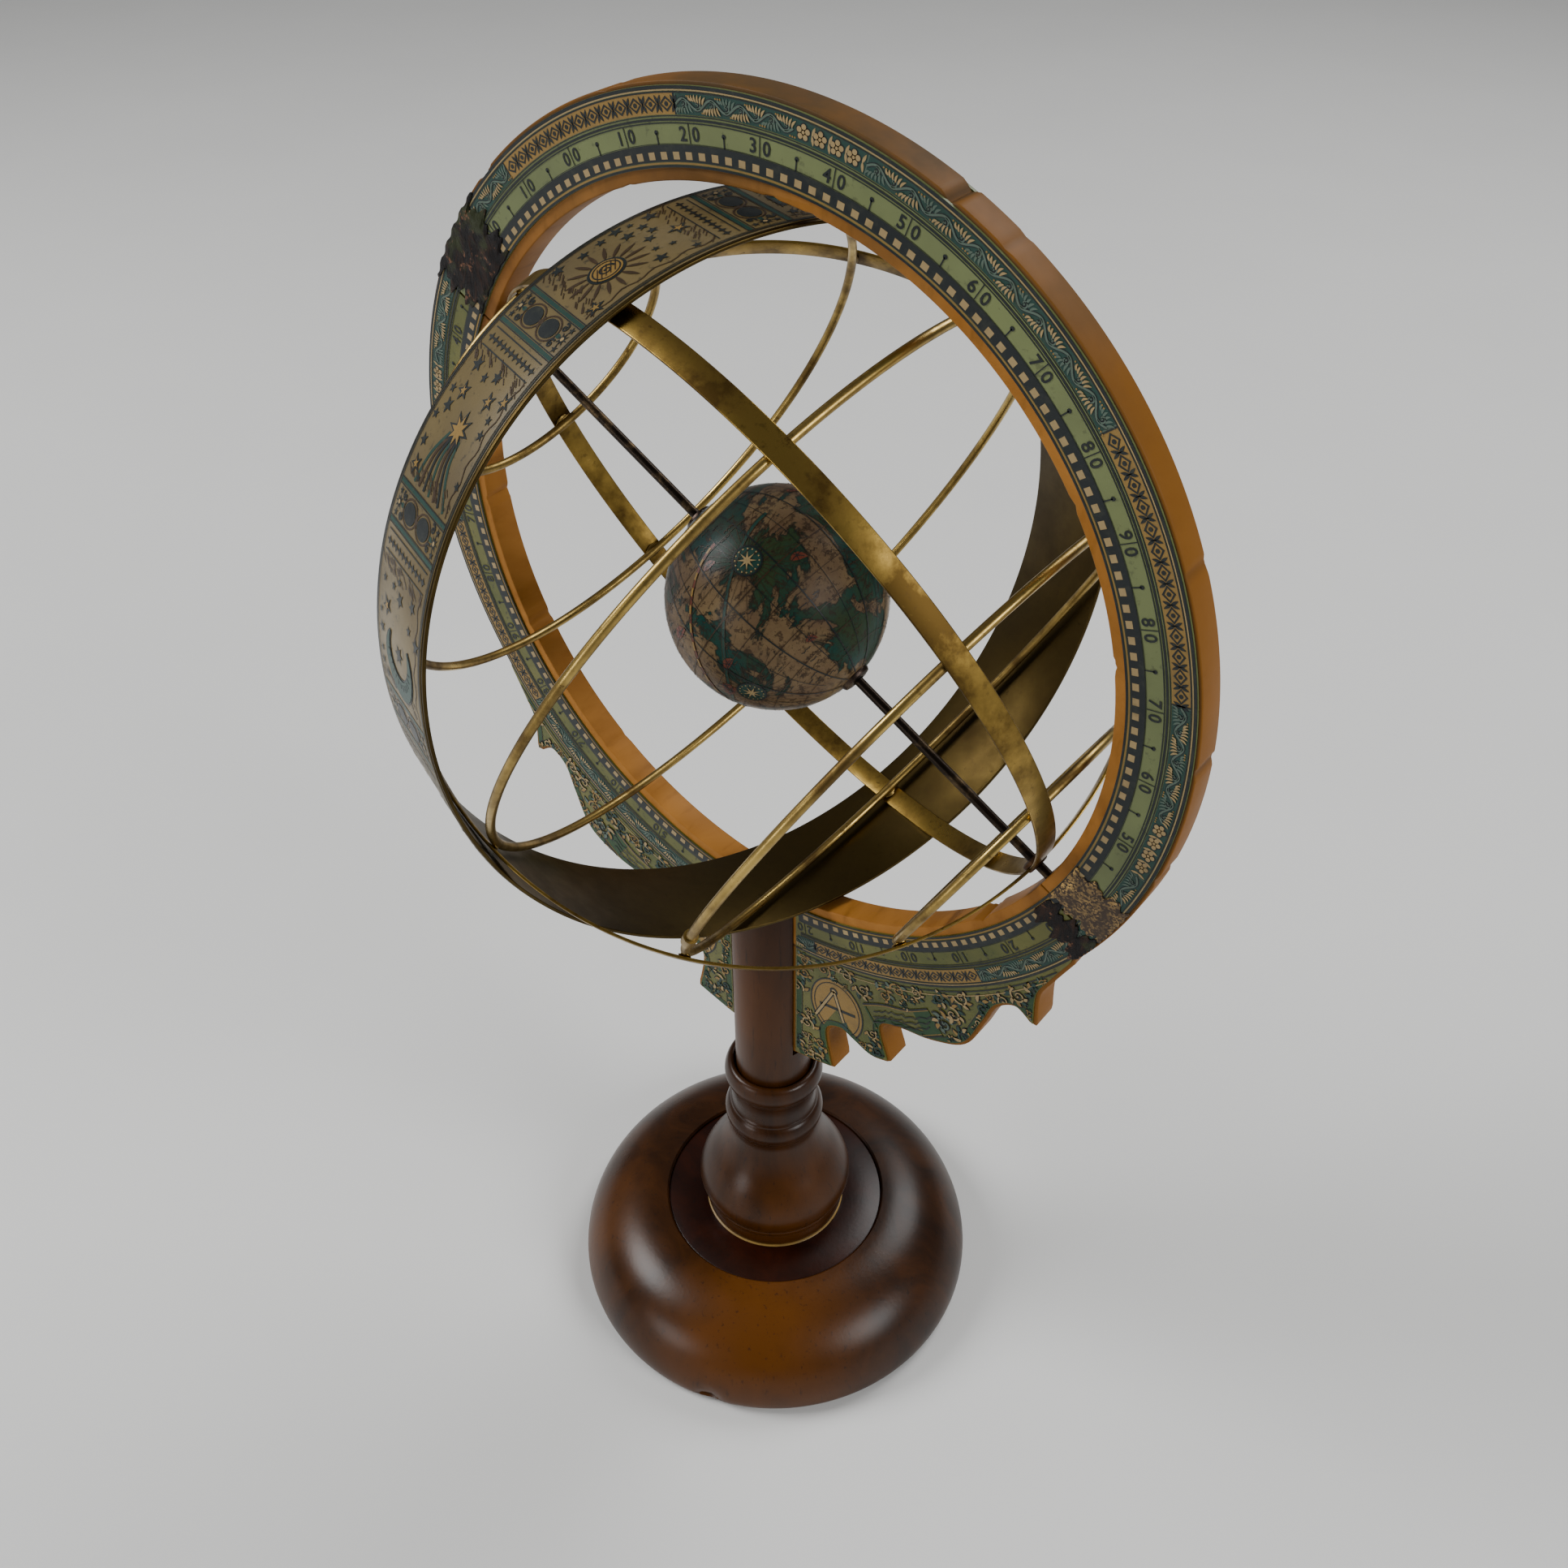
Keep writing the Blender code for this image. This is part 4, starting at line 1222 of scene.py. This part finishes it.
def make_base():
    dome = []
    for step in range(26):
        angle = math.radians(90 - 90 * step / 25)
        dome.append((DOME_CORE + (BASE_RADIUS - DOME_CORE) * math.cos(angle),
                     DOME_FOOT + (BASE_TOP - DOME_FOOT) * math.sin(angle)))
    floor = FELT_TOP + 0.3
    profile = dome + [(54.55, 2.5), (54.0, 1.75), (53.2, floor), (52.2, floor), (6.4, floor),
                      (6.4, 22.4), (29.9, 22.4), (30.08, 23.6), (30.1, 24.3)]
    mesh = lathe_mesh("base_wood", profile, UPRIGHT, 192)
    chip_base(mesh)
    finish_piece("base_wood", mesh, "mahogany", "stand", ["base_disc"])
    disc = [(30.0, 23.8), (29.6, 24.0), (20.0, 24.05), (6.5, 24.05), (6.5, 22.6), (30.0, 22.6)]
    lathe("base_inlay", disc, "inner_disc", ["base_inner_disc"])


# the stem's turned outline from its collar to its foot: radius and height
STEM_TURNED = (
    (10.1, 81.5), (10.5, 82.0), (11.3, 82.0), (12.1, 81.2), (12.75, 79.2), (12.75, 77.4),
    (12.2, 75.9), (11.5, 75.0), (11.4, 74.4), (11.0, 73.4), (10.8, 70.6), (11.0, 67.6),
    (11.5, 66.6), (11.6, 66.1), (12.3, 65.2), (12.95, 63.6), (12.95, 61.8), (12.4, 60.2),
    (11.8, 59.4), (11.7, 58.7), (11.55, 57.8), (11.7, 55.8), (12.6, 52.6), (14.6, 48.4),
    (17.8, 43.4), (20.0, 39.0), (20.8, 35.4), (20.3, 32.6), (19.2, 31.4))
STEM_FOOT = (
    (18.7, 31.2), (18.7, 30.8), (19.3, 30.6), (19.5, 30.2), (19.35, 29.4), (18.95, 28.6),
    (18.8, 28.4), (18.9, 28.1), (19.1, 26.6), (18.95, 24.9))
STEM_CORE = (
    (18.7, 24.3), (6.0, 24.3), (6.0, 12.3), (0.0, 12.3), (0.0, 64.0), (6.3, 64.0), (6.3, 79.0),
    (10.0, 79.0))


def make_stem():
    stem = smooth_run(STEM_TURNED, 5) + [*STEM_FOOT, *STEM_CORE]
    lathe("stem_turned", stem, "mahogany", ["stem"], steps=144)
    glue = [(19.05, 24.3), (19.2, 24.15), (19.2, 24.0), (18.6, 24.0), (18.6, 24.4)]
    lathe("glue_line", glue, "ink_ochre")
    top = COLUMN_TOP
    post = [(0.0, top), (9.0, top), (9.5, top - 0.15), (9.8, top - 0.6), (9.8, 79.5), (6.0, 79.3),
            (6.0, 64.8), (0.0, 64.8)]
    slot = BOARD_HALF + 0.3
    mesh = cut_box(lathe_mesh("post", post, UPRIGHT, 128), (-20, -slot, 92.6), (20, slot, top + 10))
    finish_piece("post", mesh, "mahogany", "stand", ["column"])


# small chips in the ring's edges: angle and half width in degrees, and the change of radius
INNER_NICKS = ((3, 1.1, 0.004), (9, 0.8, 0.003), (-21, 0.9, 0.003), (56, 1.0, 0.004),
               (77, 1.3, 0.005), (133, 1.8, 0.009), (148, 0.8, 0.004), (-95, 1.2, 0.006),
               (-118, 0.9, 0.005), (-143, 1.1, 0.004))
OUTER_NICKS = ((24, 0.9, -0.008), (31, 0.7, -0.003), (66, 1.0, -0.003), (88, 0.8, -0.004),
               (-20, 1.0, -0.003), (-44, 1.6, -0.005), (-55, 1.8, -0.008), (104, 0.9, -0.004))


def nicked(points, nicks):
    """A ring's outline with its chips."""
    result = []
    for x, z in points:
        scale = 1.0
        for place, half, depth in nicks:
            apart = (math.degrees(math.atan2(x, z)) - place) / half
            if abs(apart) < 1:
                scale += depth * (1 - apart * apart) * (1 + 0.3 * math.sin(9 * apart))
        result.append((x * scale, z * scale))
    return result


def half_outlines(outer, inner, margin, joint, steps, chipped):
    """The outlines of a ring's upper and lower halves, parted by the joint's width."""
    start, end, whole = POLE_TILT, POLE_TILT + math.pi, POLE_TILT + math.tau
    out, back = joint / RING_OUTER, joint / RING_INNER
    upper_out = arc(outer, start + out, end - out, steps[0])
    upper_in = arc(inner, end - back, start + back, steps[1])
    lower_in = arc(inner, whole - back, end + back, steps[1])
    if chipped:
        upper_out = nicked(upper_out, OUTER_NICKS)
        upper_in = nicked(upper_in, INNER_NICKS)
        lower_in = nicked(lower_in, INNER_NICKS)
    return upper_out + upper_in, lower_edge(outer, margin, end + out, whole - out) + lower_in


def make_board():
    upper, lower = half_outlines(RING_OUTER, RING_INNER, FRET_MARGIN, 0.15, (400, 360), True)
    for half, loop in (("upper", upper), ("lower", lower)):
        name = "board_" + half
        mesh = plate_mesh(name, loop, -BOARD_HALF, BOARD_HALF, 0.28)
        finish_piece(name, mesh, "board_wood", "stand", [f"ring_{half}_half"])
    upper, lower = half_outlines(PRINT_OUTER, PRINT_INNER, 0.0, 0.30, (150, 150), False)
    clear = 10.1
    for side, face in ((-1, "front"), (1, "back")):
        low, high = sorted((side * (BOARD_HALF - 0.1), side * PRINT_TOP))
        finish_piece(face + "_paper_upper", plate_mesh("paper", upper, low, high), "ring_paper",
                     "stand", [face + "_print_upper"])
        split = cut_box(plate_mesh("paper", lower, low, high), (-clear, -20, 50),
                        (clear, 20, COLUMN_TOP + 0.3))
        finish_piece(face + "_paper_lower", split, "bracket_paper", "stand",
                     [face + "_print_right", face + "_print_left"])


def behind_post_or_joint(angle, radius):
    """True where the ring has no print, seen from the front."""
    x, z = radius * math.sin(angle), radius * math.cos(angle)
    across = abs(x * math.cos(POLE_TILT) - z * math.sin(POLE_TILT))
    return across < 0.25 or (abs(x) < 10.2 and z < -60)


BRACKET_LOOP = [(0.0, 0.0)] + fret_outline() + [(0.0, -132.6)]


def outside_fret(u, v):
    """Outside the bracket's paper: beyond its edge, on the ring or behind the post."""
    x = abs(u)
    if x < 10.4 or math.hypot(x, v) < 94.6:
        return True
    inside = False
    for (x0, z0), (x1, z1) in zip(BRACKET_LOOP, BRACKET_LOOP[1:] + BRACKET_LOOP[:1]):
        if (z0 > v) != (z1 > v) and x < (x1 - x0) * (v - z0) / (z1 - z0) + x0:
            inside = not inside
    return not inside


def make_ring_prints():
    """Scale, scrolls and bracket drawing on the board's front (-1) and its back (1)."""
    for side, face in ((-1, "front"), (1, "back")):
        def ring_place(angle, radius, lift, side=side):
            return Vector((-side * radius * math.sin(angle), side * (PRINT_TOP + lift),
                           CENTRE.z + radius * math.cos(angle)))

        def bracket_place(u, v, lift, side=side):
            return Vector((-side * u, side * (PRINT_TOP + lift), CENTRE.z + v))

        def skip(angle, radius, side=side):
            return behind_post_or_joint(-side * angle, radius)

        print_ring(face + "_scale", ring_place, skip)
        print_bracket(face + "_bracket", bracket_place, outside_fret, 3 + side)


def patch_mesh(name, span, inner, outer, rough, seed, ragged):
    """A torn sheet over the board's joint: a lumpy grid with ragged edges, wrapped on the front.
    Its span is in degrees from the upper joint."""
    rng = random.Random(seed)
    waves = [(rng.uniform(0.2, 1.5), rng.uniform(0.2, 1.5), rng.uniform(0, 6.28),
              rng.uniform(0.4, 1.0)) for _ in range(14)]
    first, last = (POLE_TILT + math.radians(angle) for angle in span)
    columns, rows = 70, 60
    bm = bmesh.new()

    def corner(s, t):
        tear = ragged * (math.sin(t * 17 + seed) + 0.6 * math.sin(t * 41)) * (s - 0.5) * 2
        angle = first + (last - first) * s + tear * math.radians(1.0)
        radius = inner + (outer - inner) * t
        radius += ragged * 0.3 * math.sin(s * 31 + seed) * (1 if t > 0.5 else 0.4)
        radius = min(radius, RING_OUTER - 0.15)
        x, z = radius * math.sin(angle), radius * math.cos(angle)
        lump = sum(c * math.sin(a * x + p) * math.sin(b * z + p) for a, b, p, c in waves) / 5
        edge = min(s, 1 - s, t, 1 - t) * 12
        height = 0.28 + rough * (0.55 + 0.45 * lump) * min(1.0, edge)
        return bm.verts.new((x, -(PRINT_TOP + height), CENTRE.z + z))

    grid = [[corner(i / columns, j / rows) for j in range(rows + 1)] for i in range(columns + 1)]
    for here, there in zip(grid, grid[1:]):
        for j in range(rows):
            bm.faces.new((here[j], there[j], there[j + 1], here[j + 1]))
    rim = [e for e in bm.edges if e.is_boundary]
    skirt = bmesh.ops.extrude_edge_only(bm, edges=rim)["geom"]
    for vertex in skirt:
        if isinstance(vertex, bmesh.types.BMVert):
            vertex.co.y = -(PRINT_TOP + 0.01)
    bmesh.ops.contextual_create(bm, geom=[e for e in bm.edges if e.is_boundary])
    return mesh_from(bm, name)


def make_patches():
    patches = (
        ("torn_repair", "torn", ["patch_upper_joint"], (0.3, 13.2), 81.6, 94.7, 0.42, 3, 0.9),
        ("glitter_repair", "glitter", ["patch_lower_joint"], (172.4, 179.5), 81.5, 94.5, 0.30, 8,
         0.45),
        ("joint_dirt", "torn", [], (180.4, 184.4), 82.0, 94.6, 0.12, 5, 0.8))
    for name, look, nodes, *shape in patches:
        finish_piece(name, patch_mesh(name, *shape), look, "stand", nodes, sharp=180)


def make_rod():
    half = (ROD_HIGH - ROD_LOW).length / 2 - 0.2
    rod = [(0.0, half), (0.8, half), (1.0, half - 0.2)]
    rod += [(1.0, half * (1 - 2 * i / 40)) for i in range(1, 40)]
    rod += [(1.0, 0.2 - half), (0.8, -half), (0.0, -half)]
    lathe("rod", rod, "rod", ["polar_rod"], POLAR, 32)
    low, high = 74.35, 78.6
    bead = []
    for step in range(13):
        angle = math.radians(80 - 160 * step / 12)
        bead.append((0.6 + 2.6 * math.cos(angle),
                     (low + high) / 2 + (high - low) / 2 * math.sin(angle)))
    bead += [(BORE_RADIUS, low + 0.05), (BORE_RADIUS, high - 0.05)]
    lathe("pole_bead", bead, "bead", ["upper_bead"], POLAR, 64)


def make_colures():
    colure = strip_section(COLURE_INNER, COLURE_INNER + 0.62, COLURE_WIDTH / 2, 0.18)
    quarter = Matrix.Rotation(math.pi / 2, 4, "X")
    mesh = hoop_mesh("colure_full", colure, CAGE @ quarter, 288)
    finish_piece("colure_full", mesh, "brass", "cage", ["colure_solstitial"])
    clear = math.asin((COLURE_WIDTH / 2 + 0.05) / COLURE_INNER)
    for end, side in (("near", -1), ("far", 1)):
        name = "colure_half_" + end
        turn = CAGE @ Matrix.Rotation(side * math.pi / 2, 4, "Z") @ quarter
        mesh = hoop_mesh(name, colure, turn, 144, -math.pi / 2 + clear, math.pi - 2 * clear)
        finish_piece(name, mesh, "brass", "cage", ["colure_equinoctial_" + end])


def solder_mesh(name, places, size):
    """Small melted lumps of solder where wires meet the hoops."""
    bm = bmesh.new()
    rng = random.Random(21)
    for matrix in places:
        lump = bmesh.ops.create_icosphere(bm, subdivisions=3, radius=1.0)["verts"]
        wide, long, thick = (rng.uniform(0.85, 1.15) * s for s in size)
        for vertex in lump:
            x, y, z = vertex.co
            swell = 1 + 0.10 * math.sin(5 * x + 3 * y) + 0.07 * math.sin(7 * z + 2 * x)
            vertex.co = matrix @ Vector((x * thick * swell, y * wide * swell, z * long * swell))
    return mesh_from(bm, name)


def make_wires():
    wires = (("equator", "equator_wire", 0.0),
             ("tropic_wire_north", "tropic_wire_north", TROPIC),
             ("tropic_wire_south", "tropic_wire_south", -TROPIC),
             ("polar_wire_north", "polar_wire_north", POLAR_CIRCLE),
             ("polar_wire_south", "polar_wire_south", -POLAR_CIRCLE))
    joints = []
    for name, node, latitude in wires:
        section = circle(on_circle((0, 0), WIRE_SPHERE, latitude), WIRE_RADIUS, 14)
        mesh = hoop_mesh(name + "_hoop", section, CAGE, 240, wobble=0.05)
        finish_piece(name + "_hoop", mesh, "wire_brass", "cage", [node])
        joints += [CAGE @ Matrix.Rotation(math.pi / 2 * quarter, 4, "Z")
                   @ Matrix.Rotation(-latitude, 4, "Y")
                   @ Matrix.Translation((WIRE_SPHERE + 0.85, 0, 0)) for quarter in range(4)]
    finish_piece("wire_solder", solder_mesh("wire_solder", joints, (1.9, 1.25, 0.42)),
                 "wire_brass", "cage", sharp=180)
    sleeve = circle(on_circle((0, 0), WIRE_SPHERE, -TROPIC), 1.45, 16)
    mesh = hoop_mesh("wire_sleeve", sleeve, CAGE, 10, math.radians(-78), 4.6 / WIRE_SPHERE)
    finish_piece("wire_sleeve", mesh, "wire_brass", "cage")


def make_zodiac():
    band = strip_section(ZODIAC_INNER, ZODIAC_INNER + 0.73, ZODIAC_WIDTH / 2 - 0.02, 0.22)
    mesh = hoop_mesh("zodiac_hoop", band, ZODIAC, 360)
    finish_piece("zodiac_hoop", mesh, "zodiac_brass", "cage", ["zodiac_band"])
    strip = strip_section(ZODIAC_INNER + 0.7, ZODIAC_PRINT, 12.0, 0.05)
    mesh = hoop_mesh("zodiac_paper", strip, ZODIAC, 360)
    finish_piece("zodiac_paper", mesh, "zodiac_paper", "cage", ["zodiac_print"])


def pole_pair(prefix, matrix):
    """The names, nodes' ends and placing matrices of a pair of pieces at the two poles."""
    return ((prefix + "_upper", "north", matrix),
            (prefix + "_lower", "south", matrix @ Matrix.Rotation(math.pi, 4, "X")))


def make_eyelets():
    outside, inside = COLURE_INNER + 0.6, COLURE_INNER
    eyelet = [(1.95, outside + 0.4), (2.35, outside + 0.25), (2.4, outside), (1.9, outside - 0.1),
              (1.9, inside), (2.7, inside - 0.15), (2.6, inside - 0.8), (1.9, inside - 1.1),
              (1.3, inside - 1.1), (1.3, outside + 0.4)]
    for name, end, turn in pole_pair("pole_eyelet", CAGE):
        lathe(name, eyelet, "bead", ["eyelet_" + end], turn, 48, "cage")


def make_globe():
    flat = math.acos(2.2 / GLOBE_RADIUS)
    profile = [on_circle((0, 0), GLOBE_RADIUS, flat - 2 * flat * step / 96) for step in range(97)]
    top = profile[0][1]
    profile += [(1.3, -top), (1.3, top)]
    lathe("globe_map_ball", profile, "globe", ["globe_ball"], GLOBE, 160, "globe")
    print_globe()
    low = GLOBE_RADIUS + 0.02
    cap = [(1.3, low + 0.80), (2.3, low + 0.80), (3.0, low + 0.6), (3.3, low + 0.1),
           (3.3, low - 0.35), (2.9, low - 0.35), (1.3, low - 0.1)]
    for name, end, turn in pole_pair("globe_cap", GLOBE):
        lathe(name, cap, "cap", ["globe_cap_" + end], turn, 64, "globe")


def dress_hidden_nodes():
    """The pieces under the base keep their solids and get their materials."""
    for node, look in (("felt_pad", "felt"), ("base_screw", "rod")):
        slots = frame["nodes"][node].data.materials
        slots.clear()
        slots.append(LOOKS[look])


# ---------------------------------------------------------------- stage

# name, place and size in metres, power in watts
LAMPS = (("left", (-1.05, -0.65, 1.15), 0.75, 22.0), ("right", (1.25, 0.05, 0.80), 0.65, 12.0),
         ("back", (0.15, 1.05, 1.25), 0.80, 12.0), ("low", (-0.3, -1.2, 0.35), 0.50, 3.5))
FLOOR_HALF = 6000.0


def make_stage():
    bm = bmesh.new()
    bmesh.ops.create_grid(bm, x_segments=1, y_segments=1, size=FLOOR_HALF)
    floor = linked_object("floor", mesh_from(bm, "floor", turn_faces=False))
    floor.data.materials.append(LOOKS["floor"])
    world = bpy.data.worlds.new("studio")
    bpy.context.scene.world = world
    world.use_nodes = True
    background = world.node_tree.nodes["Background"]
    background.inputs["Color"].default_value = WORLD_COLOUR
    background.inputs["Strength"].default_value = WORLD_STRENGTH
    for name, place, size, power in LAMPS:
        lamp = bpy.data.lights.new(name, "AREA")
        lamp.shape = "DISK"
        lamp.size = size
        lamp.energy = power
        holder = linked_object(name, lamp)
        holder.location = place
        aim = CENTRE * MM - Vector(place)
        holder.rotation_euler = aim.to_track_quat("-Z", "Y").to_euler()


# above and to the right of the board's front: place in metres, then pitch, yaw and roll
CAMERA_PLACE = Vector((0.16409, -0.19854, 0.39584))
CAMERA_TURN = (math.radians(-40.57), math.radians(38.91), math.radians(-0.22))
SENSOR_WIDTH = 36.0
FOCAL_LENGTH = 35.256
WORLD_COLOUR = (0.81, 0.81, 0.80, 1.0)
WORLD_STRENGTH = 0.20


def make_camera():
    pitch, yaw, roll = CAMERA_TURN
    ahead = Vector((-math.sin(yaw) * math.cos(pitch), math.cos(yaw) * math.cos(pitch),
                    math.sin(pitch)))
    level = ahead.cross(Vector((0, 0, 1))).normalized()
    upward = level.cross(ahead)
    right = math.cos(roll) * level + math.sin(roll) * upward
    up = -math.sin(roll) * level + math.cos(roll) * upward
    camera_data = bpy.data.cameras.new("camera")
    camera_data.sensor_width = SENSOR_WIDTH
    camera_data.lens = FOCAL_LENGTH
    camera_data.clip_start = 0.01
    camera = linked_object("camera", camera_data)
    turn = Matrix((right, up, -ahead)).transposed().to_4x4()
    camera.matrix_world = Matrix.Translation(CAMERA_PLACE) @ turn
    bpy.context.scene.camera = camera


make_camera()
make_stage()
make_base()
make_stem()
make_board()
make_ring_prints()
make_patches()
make_rod()
make_colures()
make_wires()
make_zodiac()
make_eyelets()
print_zodiac()
make_globe()
dress_hidden_nodes()
